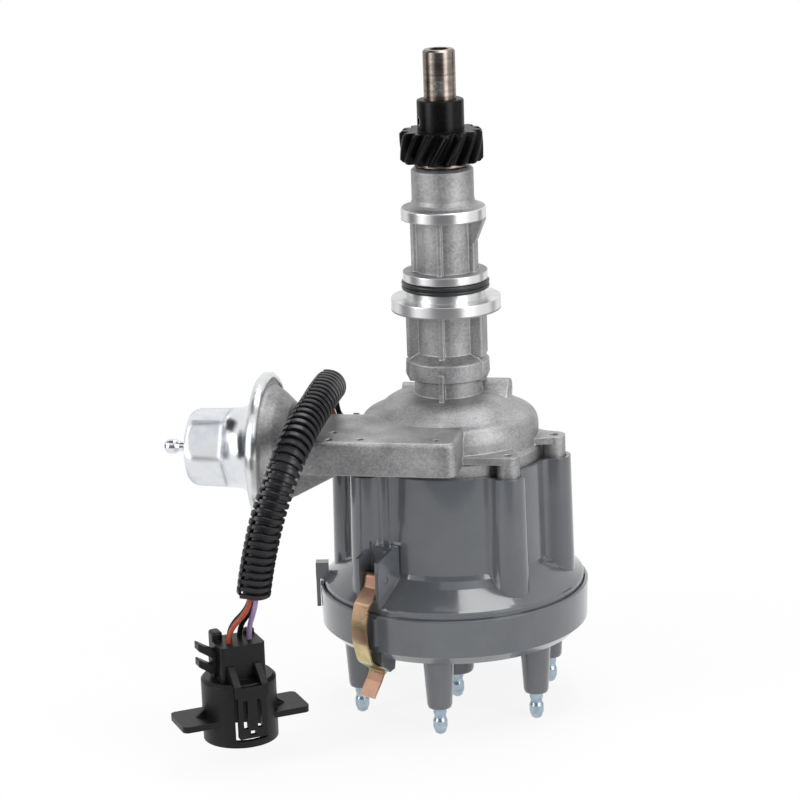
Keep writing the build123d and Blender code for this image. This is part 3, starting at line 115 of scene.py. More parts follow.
def line_frames(points):
    """At each point of a line: how far along it is, its place, and two directions across it."""
    aside = Vector((0, 0, 1))
    reached = 0.0
    frames = []
    for number, point in enumerate(points):
        before = points[max(number - 1, 0)]
        after = points[min(number + 1, len(points) - 1)]
        along = (after - before).normalized()
        aside = (aside - along * aside.dot(along)).normalized()
        if number:
            reached += (point - points[number - 1]).length
        frames.append((reached, point, aside.copy(), along.cross(aside)))
    return frames


def frame_at(frames, distance):
    """The place and the two cross directions at a distance along the line."""
    for first, second in zip(frames, frames[1:]):
        if second[0] >= distance or second is frames[-1]:
            share = (distance - first[0]) / (second[0] - first[0])
            return tuple(a.lerp(b, share) for a, b in zip(first[1:], second[1:]))


def new_mesh_object(name, vertices, faces):
    mesh = bpy.data.meshes.new(name)
    mesh.from_pydata([tuple(vertex) for vertex in vertices], [], faces)
    made = bpy.data.objects.new(name, mesh)
    bpy.context.scene.collection.objects.link(made)
    return made


def pick(made):
    """Leave only this object selected and active, as its operators need."""
    bpy.ops.object.select_all(action="DESELECT")
    made.select_set(True)
    bpy.context.view_layer.objects.active = made


def renew_normals(made):
    """Turn all faces of a piece the same way, outwards where it is closed."""
    pick(made)
    bpy.ops.object.mode_set(mode="EDIT")
    bpy.ops.mesh.select_all(action="SELECT")
    bpy.ops.mesh.normals_make_consistent(inside=False)
    bpy.ops.object.mode_set(mode="OBJECT")


def keep_modifiers(made):
    """Apply every modifier of a piece in turn."""
    pick(made)
    for modifier in list(made.modifiers):
        bpy.ops.object.modifier_apply(modifier=modifier.name)


def linear(hex_colour):
    """An sRGB hex colour as the linear colour that a shader takes."""
    channels = [int(hex_colour[start:start + 2], 16) / 255 for start in (1, 3, 5)]
    return (*[c / 12.92 if c <= 0.04045 else ((c + 0.055) / 1.055) ** 2.4 for c in channels], 1)


def feed(node, inputs):
    """Give each input of a node its value, or link it to another node or to one of that node's outputs."""
    for key, value in inputs.items():
        if isinstance(value, bpy.types.Node):
            value = next(output for output in value.outputs if output.enabled)
        if isinstance(value, bpy.types.NodeSocket):
            node.id_data.links.new(value, node.inputs[key])
        else:
            node.inputs[key].default_value = value


def add(tree, kind, inputs=None, stops=(), **settings):
    """Add one node with its settings and inputs, and a colour ramp's stops as (place, hex colour or grey)."""
    made = tree.nodes.new("ShaderNode" + kind)
    for key, value in settings.items():
        setattr(made, key, value)
    if stops:
        elements = made.color_ramp.elements
        while len(elements) < len(stops):
            elements.new(0.5)
        for element, (position, colour) in zip(elements, stops):
            element.position = position
            element.color = linear(colour) if isinstance(colour, str) else (colour, colour, colour, 1)
    feed(made, inputs or {})
    return made


def start_finish(name, **shader_values):
    """A new material with its shader's constant values; returns it, its tree, shader and object coordinates."""
    made = bpy.data.materials.new(name)
    made.use_nodes = True
    shader = made.node_tree.nodes["Principled BSDF"]
    feed(shader, {key.replace("_", " "): value for key, value in shader_values.items()})
    return made, made.node_tree, shader, add(made.node_tree, "TexCoord").outputs["Object"]


# Polypropylene, extruded: black with a violet cast, with a waxy bloom in patches of 4 mm. The extruder's
# grain is under 0.1 mm, and drawn at 0.6 mm so that it shows.
loom_plastic, tree, shader, place = start_finish("extruded polypropylene", Specular_IOR_Level=0.4)
bloom = add(tree, "TexNoise", {"Vector": place, "Scale": 260.0, "Detail": 3.0})
violet_black = add(tree, "ValToRGB", {"Fac": bloom}, stops=((0.35, "#111014"), (0.7, "#1b1a1f")))
gloss = add(tree, "MapRange", {"Value": bloom, "To Min": 0.26, "To Max": 0.42})
grain = add(tree, "TexNoise", {"Vector": place, "Scale": 1800.0, "Detail": 2.0})
skin = add(tree, "Bump", {"Strength": 0.25, "Distance": 0.0001, "Height": grain})
feed(shader, {"Base Color": violet_black, "Roughness": gloss, "Normal": skin})

loom_line = cord_line("loom_line", loom_route)
loom_points = line_points(loom_line)
loom_frames = line_frames(loom_points)
loom_length = loom_frames[-1][0]
pitches = math.floor(loom_length / loom_pitch)
rings = [((number + share) * loom_length / pitches, rise) for number in range(pitches) for share, rise in loom_wave]
rings.append((loom_length, 0.0))
loom_vertices = []
for distance, rise in rings:
    centre, aside, across = frame_at(loom_frames, distance)
    along = aside.cross(across)
    radius = loom_groove_r + (loom_crest_r - loom_groove_r) * rise
    for side in range(loom_sides + 1):
        bearing = math.radians(loom_slit_bearing + loom_slit_deg / 2 + (360 - loom_slit_deg) * side / loom_sides)
        outward = aside * math.cos(bearing) + across * math.sin(bearing)
        at_lip = max(0, 1 - (loom_sides - side) / loom_lip_sides)
        # the tube's two ends stay cut square
        pull = loom_lip_pull * loom_pitch * at_lip if 0 < distance < loom_length else 0
        loom_vertices.append(centre + outward * (radius + loom_lip * at_lip) + along * pull)
row = loom_sides + 1
loom_faces = [(ring * row + side, ring * row + side + 1, (ring + 1) * row + side + 1, (ring + 1) * row + side)
              for ring in range(len(rings) - 1) for side in range(loom_sides)]
loom = new_mesh_object("loom_tube", loom_vertices, loom_faces)
renew_normals(loom)
first_face = loom.data.polygons[0]
if first_face.normal.dot(first_face.center - loom_frames[0][1]) < 0:
    loom.data.flip_normals()
wall = loom.modifiers.new("wall", "SOLIDIFY")
wall.thickness = loom_wall
wall.offset = -1
keep_modifiers(loom)
bpy.ops.object.shade_smooth_by_angle(angle=math.radians(32))
loom.data.materials.append(loom_plastic)
bpy.data.objects.remove(loom_line)
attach(loom, "housing")
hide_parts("loom")


# ---------------------------------------------------------------------------
# Wires. Four copper leads in PVC, 2.3 mm thick, from the grommet in the bowl through the loom into the
# connector: orange, lilac and two black ones. They lie against the loom's lower wall.
wire_r = 0.00115
wire_spread = 1.8  # from the bundle's middle, in millimetres as the routes are
wire_sag = Vector((0.0, 1.6, -1.8))
wire_start = ((-43.4, -3.8, -58.3), (-46.9, -4.1, -58.2), (-49.6, -4.5, -56.6), (-51.2, -5.4, -52.8),
              (-51.6, -7.6, -47.4), (-51.2, -11.0, -41.6))
wire_below_loom = (-74.2, -85.9, -119.6)
wire_twist = 135.0  # degrees that the bundle turns on its way down the loom
block_top, contact_top = -129.4, -134.4
# each wire's bearing in the bundle, its colour, where it enters the block, its CAD wire and its slot
wires = {
    "lead_orange": (90, "#a0452a", (-84.3, -88.7), "wire_orange", "orange_insulation"),
    "lead_lilac": (0, "#9a85ae", (-76.6, -82.2), "wire_purple", "purple_insulation"),
    "lead_black": (-90, "#121113", (-81.5, -79.9), "wire_blacks", "black_plastic"),
    "lead_black_earth": (180, "#121113", (-85.5, -82.5), "wire_blacks", "black_plastic"),
}
bundle_route = ([Vector(point) for point in wire_start] + [Vector(loom_route[0])]
                + [Vector(point) + wire_sag for point in loom_route[1:-1]]
                + [Vector(loom_route[-1]), Vector(wire_below_loom)])
for wire_name, (bearing, dye, entry, cad_wire, wire_slot) in wires.items():
    route = []
    for number, (_, point, aside, across) in enumerate(line_frames(bundle_route)):
        share = min(max(number - len(wire_start), 0) / (len(loom_route) - 1), 1)
        turn = math.radians(bearing + wire_twist * (1 - share))
        route.append(point + (aside * math.cos(turn) + across * math.sin(turn)) * wire_spread)
    route += [Vector((*entry, block_top)), Vector((*entry, contact_top))]
    wire = cord_line(wire_name, route)
    wire_length = line_frames(line_points(wire))[-1][0]
    wire.data.bevel_depth = wire_r
    wire.data.bevel_resolution = 5
    wire.data.use_fill_caps = True
    # PVC, extruded over copper: even colour, soft gloss, faint handling marks a few millimetres across.
    wire_plastic, tree, shader, place = start_finish("extruded PVC, " + wire_name.replace("_", " "),
                                                     Specular_IOR_Level=0.4)
    marks = add(tree, "TexNoise", {"Vector": place, "Scale": 420.0, "Detail": 3.0})
    darker = add(tree, "ValToRGB", {"Fac": marks}, stops=((0.3, 0.86), (0.75, 1.0)))
    dyed = add(tree, "Mix", {"Factor": 1.0, 6: linear(dye), 7: darker}, data_type="RGBA", blend_type="MULTIPLY")
    gloss = add(tree, "MapRange", {"Value": marks, "To Min": 0.26, "To Max": 0.42})
    feed(shader, {"Base Color": dyed, "Roughness": gloss})
    wire.data.materials.append(wire_plastic)
    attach(wire, "housing")
    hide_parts(cad_wire)


# ---------------------------------------------------------------------------
# Connector. Round four-way female half, moulded in glass-filled nylon, with its wedge lock and tin-plated
# brass contacts. It hangs on the wires at the end of the loom.


def wear(finish, *node_names):
    """Give these CAD nodes this finish in each of their slots."""
    for node_name in node_names:
        made = node_objects[node_name]
        if not made.material_slots:
            made.data.materials.append(finish)
        for material_slot in made.material_slots:
            material_slot.material = finish


# Nylon with glass fibre: nearly black, satin. Its mottling from the fibres at the skin is under 0.5 mm, and
# drawn at 2 mm so that it shows.
nylon, tree, shader, place = start_finish("moulded glass-filled nylon", Specular_IOR_Level=0.25)
fibres = add(tree, "TexNoise", {"Vector": place, "Scale": 520.0, "Detail": 4.0, "Roughness": 0.6})
soot = add(tree, "ValToRGB", {"Fac": fibres}, stops=((0.3, "#0a0a0b"), (0.75, "#131314")))
gloss = add(tree, "MapRange", {"Value": fibres, "To Min": 0.3, "To Max": 0.48})
edge = add(tree, "Bevel", {"Radius": 0.00035}, samples=4)
skin = add(tree, "Bump", {"Strength": 0.25, "Distance": 0.00008, "Height": fibres, "Normal": edge})
feed(shader, {"Base Color": soot, "Roughness": gloss, "Normal": skin})
wear(nylon, "connector_body", "connector_lock")

# Brass, tin plated: warm under a thin grey skin, in patches of 1 mm.
tinned_brass, tree, shader, place = start_finish("tin-plated brass", Metallic=1.0, Roughness=0.35)
patches = add(tree, "TexNoise", {"Vector": place, "Scale": 900.0, "Detail": 3.0})
warm_grey = add(tree, "ValToRGB", {"Fac": patches}, stops=((0.3, "#b9b2a0"), (0.7, "#cfcbc0")))
feed(shader, {"Base Color": warm_grey})
wear(tinned_brass, "connector_terminals")


# ---------------------------------------------------------------------------
# Cap. Compression moulded in grey glass-filled PBT, with six plug towers around the coil tower.
# Its turned terminals are pressed into the towers' ends.

# PBT: mid grey, cloudy over 2 cm where the melt flowed together, with the polished mould's satin gloss and a
# slight orange peel, 9 mm across, that bends long reflections.
pbt, tree, shader, place = start_finish("moulded PBT", Specular_IOR_Level=0.5, Coat_Weight=0.8, Coat_Roughness=0.06)
cloud = add(tree, "TexNoise", {"Vector": place, "Scale": 55.0, "Detail": 4.0})
mid_grey = add(tree, "ValToRGB", {"Fac": cloud}, stops=((0.3, "#55585d"), (0.72, "#5e6166")))
gloss = add(tree, "MapRange", {"Value": cloud, "To Min": 0.18, "To Max": 0.3})
peel = add(tree, "TexNoise", {"Vector": place, "Scale": 110.0, "Detail": 1.0})
edge = add(tree, "Bevel", {"Radius": 0.0007}, samples=4)
skin = add(tree, "Bump", {"Strength": 0.12, "Distance": 0.0001, "Height": peel, "Normal": edge})
feed(shader, {"Base Color": mid_grey, "Roughness": gloss, "Normal": skin})
wear(pbt, "distributor_cap")

# Steel, zinc plated with a blue passivate: bluish bright, dulled in patches of 3 mm.
blue_zinc, tree, shader, place = start_finish("blue zinc-plated steel", Metallic=1.0)
plate = add(tree, "TexNoise", {"Vector": place, "Scale": 380.0, "Detail": 4.0})
bluish = add(tree, "ValToRGB", {"Fac": plate}, stops=((0.3, "#92a4b2"), (0.7, "#b6c3cd")))
gloss = add(tree, "MapRange", {"Value": plate, "To Min": 0.24, "To Max": 0.42})
feed(shader, {"Base Color": bluish, "Roughness": gloss})
wear(blue_zinc, "plug_terminals", "coil_terminal")


# ---------------------------------------------------------------------------
# Rotor, brush and spring. The rotor is moulded in black PBT with a brass blade; the carbon brush is pressed
# down on it from the centre tower by a light brass spring.

# Black PBT: the cap's moulding material in another colour.
black_pbt = pbt.copy()
black_pbt.name = "moulded PBT, black"
black_ramp = next(node for node in black_pbt.node_tree.nodes if node.type == "VALTORGB").color_ramp
for element, black in zip(black_ramp.elements, ("#151516", "#1f1f20")):
    element.color = linear(black)
wear(black_pbt, "rotor")

# Brass, bare: warm yellow with light rubbing marks of 2 mm.
brass, tree, shader, place = start_finish("rolled brass", Metallic=1.0)
rub = add(tree, "TexNoise", {"Vector": place, "Scale": 500.0, "Detail": 4.0})
warm_yellow = add(tree, "ValToRGB", {"Fac": rub}, stops=((0.3, "#b28b45"), (0.7, "#cfab63")))
gloss = add(tree, "MapRange", {"Value": rub, "To Min": 0.2, "To Max": 0.4})
feed(shader, {"Base Color": warm_yellow, "Roughness": gloss})
wear(brass, "rotor_contact", "brush_spring")

# Carbon, pressed: dull black grey with a sparkle from grains under 0.4 mm.
carbon, tree, shader, place = start_finish("pressed carbon", Roughness=0.55)
sparkle = add(tree, "TexNoise", {"Vector": place, "Scale": 2500.0, "Detail": 2.0})
black_grey = add(tree, "ValToRGB", {"Fac": sparkle}, stops=((0.4, "#1d1d1e"), (0.75, "#3a3a3c")))
feed(shader, {"Base Color": black_grey})
wear(carbon, "carbon_brush")


# ---------------------------------------------------------------------------
# Cap adapter. The same grey PBT as the cap, one tall moulding with six lobes around the neck and a flared
# skirt that the cap's rim closes on.
wear(pbt, "cap_adapter")


# ---------------------------------------------------------------------------
# Clips. Spring steel strap, yellow chromate over zinc, curled round a pin in the adapter. The pins' heads
# are flush in the brackets and have their grey.
strap_top, strap_bottom = -0.114, -0.174

# Yellow chromate: a brassy film that shifts to pink and green where it is thicker. It runs from copper at the
# curl over gold at the bow to pink at the hook, and drifts in patches of 1 cm. The strip's rolling marks are
# drawn at 1.4 mm so that they show.
chromate, tree, shader, place = start_finish("yellow chromate on spring steel", Metallic=1.0)
drift = add(tree, "TexNoise", {"Vector": place, "Scale": 95.0, "Detail": 4.0, "Roughness": 0.6})
parts = add(tree, "SeparateXYZ", {"Vector": place})
down = add(tree, "MapRange", {"Value": parts.outputs["Z"], "From Min": strap_top, "From Max": strap_bottom})
shift = add(tree, "Math", {0: drift, 1: 0.5, 2: -0.25}, operation="MULTIPLY_ADD")
along_strap = add(tree, "Math", {0: down, 1: shift}, operation="ADD")
film = add(tree, "ValToRGB", {"Fac": along_strap}, stops=(
    (0.08, "#c79a86"), (0.24, "#dcb795"), (0.36, "#c9b184"), (0.44, "#d9a893"),
    (0.6, "#dcc79a"), (0.72, "#b9b081"), (0.82, "#d7a48e"), (0.95, "#dfb79a")))
gloss = add(tree, "MapRange", {"Value": drift, "To Min": 0.22, "To Max": 0.36})
rolling = add(tree, "TexNoise", {"Vector": place, "Scale": 700.0, "Detail": 3.0})
skin = add(tree, "Bump", {"Strength": 0.2, "Distance": 0.00006, "Height": rolling})
feed(shader, {"Base Color": film, "Roughness": gloss, "Normal": skin})
wear(chromate, "clip_front", "clip_rear")
wear(pbt, "clip_pins")


# ---------------------------------------------------------------------------
# Housing. Aluminium casting with the bowl, the arm and the ribbed shank; the rings that locate it in the
# engine are turned bright. Bronze bushings are pressed into the shank, and a rubber ring seals it.

# from each height upwards the shank is turned, 1, or as cast, 0
turned_steps = ((-0.1, 0.0), (-0.0054, 1.0), (0.0117, 0.0), (0.03556, 1.0), (0.04024, 0.0), (0.0579, 1.0))
steps_from, steps_to = -0.1, 0.1

# Aluminium, cast: mid grey, blotched over 1.5 cm, with a sand grain of 0.4 mm that is drawn at about 1 mm so
# that it shows. The turned rings are bright and smooth.
aluminium, tree, shader, place = start_finish("cast aluminium, turned rings", Metallic=1.0)
parts = add(tree, "SeparateXYZ", {"Vector": place})
height = add(tree, "MapRange", {"Value": parts.outputs["Z"], "From Min": steps_from, "From Max": steps_to})
turned = add(tree, "ValToRGB", {"Fac": height}, stops=[((step_z - steps_from) / (steps_to - steps_from), state)
                                                       for step_z, state in turned_steps])
turned.color_ramp.interpolation = "CONSTANT"
sand = add(tree, "TexNoise", {"Vector": place, "Scale": 850.0, "Detail": 5.0, "Roughness": 0.7})
flow = add(tree, "TexNoise", {"Vector": place, "Scale": 70.0, "Detail": 4.0})
blotch = add(tree, "Math", {0: flow, 1: 0.6, 2: -0.15}, operation="MULTIPLY_ADD")
tone = add(tree, "Math", {0: sand, 1: 0.7, 2: blotch}, operation="MULTIPLY_ADD")
cast_grey = add(tree, "ValToRGB", {"Fac": tone}, stops=((0.32, "#828182"), (0.7, "#b6b5b6")))
# the edges are painted lighter: a painted highlight along them, also standing for rubbed bright metal; the rounded
# normal differs from the flat one there
edge = add(tree, "Bevel", {"Radius": 0.0008}, samples=6)
flat = add(tree, "NewGeometry").outputs["Normal"]
sameness = add(tree, "VectorMath", {0: edge, 1: flat}, operation="DOT_PRODUCT")
edge_highlight = add(tree, "MapRange", {"Value": sameness, "From Min": 0.985, "From Max": 0.9, "To Max": 0.45})
edge_highlight_grey = add(tree, "Mix", {"Factor": edge_highlight, 6: cast_grey, 7: linear("#dcdcdb")}, data_type="RGBA")
# the turning tool left smoother and duller stretches round the rings: a noise on the bearing alone
across_square = add(tree, "Math", {0: parts.outputs["X"], 1: parts.outputs["X"]}, operation="MULTIPLY")
reach_square = add(tree, "Math", {0: parts.outputs["Y"], 1: parts.outputs["Y"], 2: across_square},
                   operation="MULTIPLY_ADD")
reach = add(tree, "Math", {0: reach_square}, operation="SQRT")
round_x = add(tree, "Math", {0: parts.outputs["X"], 1: reach}, operation="DIVIDE")
round_y = add(tree, "Math", {0: parts.outputs["Y"], 1: reach}, operation="DIVIDE")
round_ring = add(tree, "CombineXYZ", {"X": round_x, "Y": round_y})
turning = add(tree, "TexNoise", {"Vector": round_ring, "Scale": 3.0, "Detail": 0.0})
turned_grey = add(tree, "ValToRGB", {"Fac": turning}, stops=((0.3, "#cbcbcd"), (0.7, "#dedede")))
# the cast grey with its painted edge highlight, or the turned rings' grey
grey = add(tree, "Mix", {"Factor": turned, 6: edge_highlight_grey, 7: turned_grey}, data_type="RGBA")
cast_rough = add(tree, "MapRange", {"Value": sand, "To Min": 0.42, "To Max": 0.66})
turned_rough = add(tree, "MapRange", {"Value": turning, "To Min": 0.36, "To Max": 0.26})
rough = add(tree, "Mix", {"Factor": turned, 2: cast_rough, 3: turned_rough}, data_type="FLOAT")
depth = add(tree, "MapRange", {"Value": turned, "To Min": 0.8, "To Max": 0.0})
skin = add(tree, "Bump", {"Strength": depth, "Distance": 0.00018, "Height": sand, "Normal": edge})
feed(shader, {"Base Color": grey, "Roughness": rough, "Normal": skin})
wear(aluminium, "housing")

# Bronze, sintered: brown, dull, with pores under 0.7 mm.
bronze, tree, shader, place = start_finish("sintered bronze", Metallic=1.0, Roughness=0.5)
pores = add(tree, "TexNoise", {"Vector": place, "Scale": 1500.0, "Detail": 3.0})
brown = add(tree, "ValToRGB", {"Fac": pores}, stops=((0.3, "#7c5f3a"), (0.7, "#a3814f")))
feed(shader, {"Base Color": brown})
wear(bronze, "upper_bushing", "lower_bushing")

# Nitrile rubber, moulded: near black, with an oily satin in patches of 3 mm. The wires' bush is of it too.
nitrile, tree, shader, place = start_finish("moulded nitrile rubber", Specular_IOR_Level=0.5)
oil = add(tree, "TexNoise", {"Vector": place, "Scale": 300.0, "Detail": 4.0})
near_black = add(tree, "ValToRGB", {"Fac": oil}, stops=((0.3, "#18191a"), (0.75, "#26282a")))
gloss = add(tree, "MapRange", {"Value": oil, "To Min": 0.22, "To Max": 0.5})
feed(shader, {"Base Color": near_black, "Roughness": gloss})
wear(nitrile, "o_ring", "harness_grommet")


# ---------------------------------------------------------------------------
# Shaft and drive gear. The shaft is ground steel with a thin brown oil film; the helical gear is cast iron,
# blackened, held by a spring pin. A shallow recess lies in the shaft's stub above the gear's hub.
recess_x, recess_half_width = 0.0006, 0.0020
recess_z, recess_half_height = 0.0940, 0.0030

# Ground steel: grinding marks run round the shaft, drawn at 0.6 mm so that they show, and the film has dried
# in bands of 2 mm and in patches of 8 mm. The recess has kept a dull grey grain.
ground_steel, tree, shader, place = start_finish("ground steel", Metallic=1.0)
parts = add(tree, "SeparateXYZ", {"Vector": place})
up_shaft = add(tree, "CombineXYZ", {"Z": parts.outputs["Z"]})
marks = add(tree, "TexNoise", {"Vector": up_shaft, "Scale": 1800.0, "Detail": 3.0})
film = add(tree, "TexNoise", {"Vector": place, "Scale": 130.0, "Detail": 3.0})
bands = add(tree, "TexNoise", {"Vector": up_shaft, "Scale": 420.0, "Detail": 3.0})
stain = add(tree, "Math", {0: bands, 1: 0.7, 2: -0.2}, operation="MULTIPLY_ADD")
tone = add(tree, "Math", {0: film, 1: 0.6, 2: stain}, operation="MULTIPLY_ADD")
film_brown = add(tree, "ValToRGB", {"Fac": tone}, stops=((0.28, "#5d534b"), (0.62, "#a0968e")))
in_width = add(tree, "Math", {0: parts.outputs["X"], 1: recess_x, 2: recess_half_width}, operation="COMPARE")
in_height = add(tree, "Math", {0: parts.outputs["Z"], 1: recess_z, 2: recess_half_height}, operation="COMPARE")
in_front = add(tree, "Math", {0: parts.outputs["Y"], 1: 0.0}, operation="LESS_THAN")
in_window = add(tree, "Math", {0: in_width, 1: in_height}, operation="MULTIPLY")
recess = add(tree, "Math", {0: in_window, 1: in_front}, operation="MULTIPLY")
pitted = add(tree, "TexNoise", {"Vector": place, "Scale": 900.0, "Detail": 3.0})
recess_grey = add(tree, "ValToRGB", {"Fac": pitted}, stops=((0.3, "#55514c"), (0.7, "#918d87")))
steel = add(tree, "Mix", {"Factor": recess, 6: film_brown, 7: recess_grey}, data_type="RGBA")
gloss = add(tree, "MapRange", {"Value": film, "To Min": 0.2, "To Max": 0.36})
dulled = add(tree, "Math", {0: recess, 1: 0.18, 2: gloss}, operation="MULTIPLY_ADD")
skin = add(tree, "Bump", {"Strength": 0.03, "Distance": 0.00003, "Height": marks})
feed(shader, {"Base Color": steel, "Roughness": dulled, "Normal": skin})
wear(ground_steel, "shaft", "thrust_washer", "sleeve_retainer", "stator_retainer", "advance_sleeve")

# Cast iron, steam blackened: deep black with a soft sheen, greyer where it has rubbed. Its grain is under
# 0.5 mm, and drawn at 1.7 mm so that it shows.
black_iron, tree, shader, place = start_finish("blackened cast iron", Specular_IOR_Level=0.12)
oxide = add(tree, "TexNoise", {"Vector": place, "Scale": 600.0, "Detail": 4.0})
deep_black = add(tree, "ValToRGB", {"Fac": oxide}, stops=((0.35, "#080808"), (0.8, "#131313")))
gloss = add(tree, "MapRange", {"Value": oxide, "To Min": 0.24, "To Max": 0.4})
edge = add(tree, "Bevel", {"Radius": 0.0004}, samples=4)
skin = add(tree, "Bump", {"Strength": 0.3, "Distance": 0.00008, "Height": oxide, "Normal": edge})
feed(shader, {"Base Color": deep_black, "Roughness": gloss, "Normal": skin})

# The gear's blank is turned, its fifteen teeth are hobbed on a right-hand helix of 31 degrees, and the tooth
# ends are chamfered with the blank.
gear_teeth = 15
gear_r, gear_root_r = 0.01835, 0.0148
gear_bottom, gear_width, gear_chamfer = 0.0609, 0.0139, 0.0012
gear_helix = math.radians(31)
gear_steps = 6  # along the teeth between the chamfers
points_on_tooth = 12  # on one pitch of the outline
# how deep each point of the pitch lies, from the tip land over the flank to the root
tooth_depth = (0, 0, 0.12, 0.55, 0.92, 1, 1, 1, 0.92, 0.55, 0.12, 0)
rim_points = gear_teeth * points_on_tooth
bpy.ops.object.select_all(action="DESELECT")
bpy.ops.mesh.primitive_circle_add(vertices=rim_points, radius=gear_r, fill_type="NGON", location=(0, 0, gear_bottom))
gear = bpy.context.active_object
gear.name = "gear_helical"
bpy.ops.object.transform_apply(location=True, rotation=False, scale=False)
bpy.ops.object.mode_set(mode="EDIT")
bpy.ops.mesh.select_mode(type="VERT")
for depth_share in sorted(set(tooth_depth) - {0}):
    bpy.ops.mesh.select_all(action="DESELECT")
    bpy.ops.object.mode_set(mode="OBJECT")
    for vertex in gear.data.vertices:
        place_on_rim = round(math.atan2(vertex.co.y, vertex.co.x) / math.tau * rim_points)
        vertex.select = tooth_depth[place_on_rim % points_on_tooth] == depth_share
    bpy.ops.object.mode_set(mode="EDIT")
    shrink = (gear_r - depth_share * (gear_r - gear_root_r)) / gear_r
    bpy.ops.transform.resize(value=(shrink, shrink, 1), center_override=(0, 0, gear_bottom))
bpy.ops.mesh.select_all(action="SELECT")
layer_z = gear_bottom
for layer in (gear_chamfer, *[(gear_width - 2 * gear_chamfer) / gear_steps] * gear_steps, gear_chamfer):
    layer_z += layer
    bpy.ops.mesh.extrude_region_move(TRANSFORM_OT_translate={"value": (0, 0, layer)})
    bpy.ops.transform.rotate(value=-layer * math.tan(gear_helix) / gear_r, orient_axis="Z",
                             center_override=(0, 0, layer_z))
bpy.ops.mesh.select_all(action="DESELECT")
bpy.ops.object.mode_set(mode="OBJECT")

# At both ends all that reaches past the chamfer's small radius is drawn in to it, one radius after another.
end_r = gear_r - gear_chamfer
near = 1e-6
for end_z in (gear_bottom, gear_bottom + gear_width):
    for reach in sorted({round(math.hypot(vertex.co.x, vertex.co.y), 6) for vertex in gear.data.vertices}):
        if reach <= end_r:
            continue
        for vertex in gear.data.vertices:
            off_radius = abs(math.hypot(vertex.co.x, vertex.co.y) - reach)
            vertex.select = abs(vertex.co.z - end_z) < near and off_radius < 2 * near
        bpy.ops.object.mode_set(mode="EDIT")
        bpy.ops.transform.resize(value=(end_r / reach, end_r / reach, 1), center_override=(0, 0, end_z))
        bpy.ops.mesh.select_all(action="DESELECT")
        bpy.ops.object.mode_set(mode="OBJECT")
renew_normals(gear)

# Its hub, bored for the shaft and cross-drilled for the pin, which stands 26 degrees round from the arm.
hub_r, hub_top, hub_chamfer = 0.01036, 0.0883, 0.0007
hub_start = gear_bottom + gear_width / 2
pin_r, pin_wall, pin_z = 0.00238, 0.0007, 0.0790
pin_turn = (0, math.pi / 2, math.radians(26))
# each bore's radius, length, middle and turn; both reach past the iron at their two ends
bores = ((0.00714, 0.06, 0.075, (0, 0, 0)), (pin_r, 3 * hub_r, pin_z, pin_turn))
bpy.ops.object.select_all(action="DESELECT")
bpy.ops.mesh.primitive_cylinder_add(vertices=96, radius=hub_r, depth=hub_top - hub_start,
                                    location=(0, 0, (hub_top + hub_start) / 2))
hub = bpy.context.active_object
bpy.ops.object.transform_apply(location=True, rotation=False, scale=False)
chamfer = hub.modifiers.new("chamfer", "BEVEL")
chamfer.width = hub_chamfer
chamfer.segments = 2
keep_modifiers(hub)
cuts = [(hub, "UNION")]
for bore_r, bore_length, bore_z, bore_turn in bores:
    bpy.ops.object.select_all(action="DESELECT")
    bpy.ops.mesh.primitive_cylinder_add(vertices=64, radius=bore_r, depth=bore_length, location=(0, 0, bore_z),
                                        rotation=bore_turn)
    cuts.append((bpy.context.active_object, "DIFFERENCE"))
for number, (tool, operation) in enumerate(cuts):
    cut = gear.modifiers.new(f"cut {number}", "BOOLEAN")
    cut.object = tool
    cut.operation = operation
    cut.solver = "EXACT"
keep_modifiers(gear)
for tool, _ in cuts:
    bpy.data.objects.remove(tool)
pick(gear)
bpy.ops.object.shade_smooth_by_angle(angle=math.radians(28))
gear.data.materials.clear()
gear.data.materials.append(black_iron)
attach(gear, "shaft")
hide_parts("drive_gear")

# The spring pin, rolled from steel strip. Each end lies 0.3 mm inside the hub's face.
pin_length = 2 * hub_r - 0.0006
bpy.ops.object.select_all(action="DESELECT")
bpy.ops.mesh.primitive_cylinder_add(vertices=48, radius=pin_r, depth=pin_length, end_fill_type="NOTHING",
                                    location=(0, 0, pin_z), rotation=pin_turn)
roll_pin = bpy.context.active_object
roll_pin.name = "roll_pin"
bpy.ops.object.transform_apply(location=True, rotation=True, scale=False)
wall = roll_pin.modifiers.new("wall", "SOLIDIFY")
wall.thickness = pin_wall
wall.offset = -1
keep_modifiers(roll_pin)
bpy.ops.object.shade_smooth_by_angle(angle=math.radians(30))
roll_pin.data.materials.append(ground_steel)
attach(roll_pin, "shaft")
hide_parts("gear_roll_pin")


# ---------------------------------------------------------------------------
# Vacuum unit. A pressed steel cover rolled over a cast cone; the link, diaphragm and spring are inside.
# The cover has soft pressed edges. The small plated parts of the whole distributor have sharper ones.

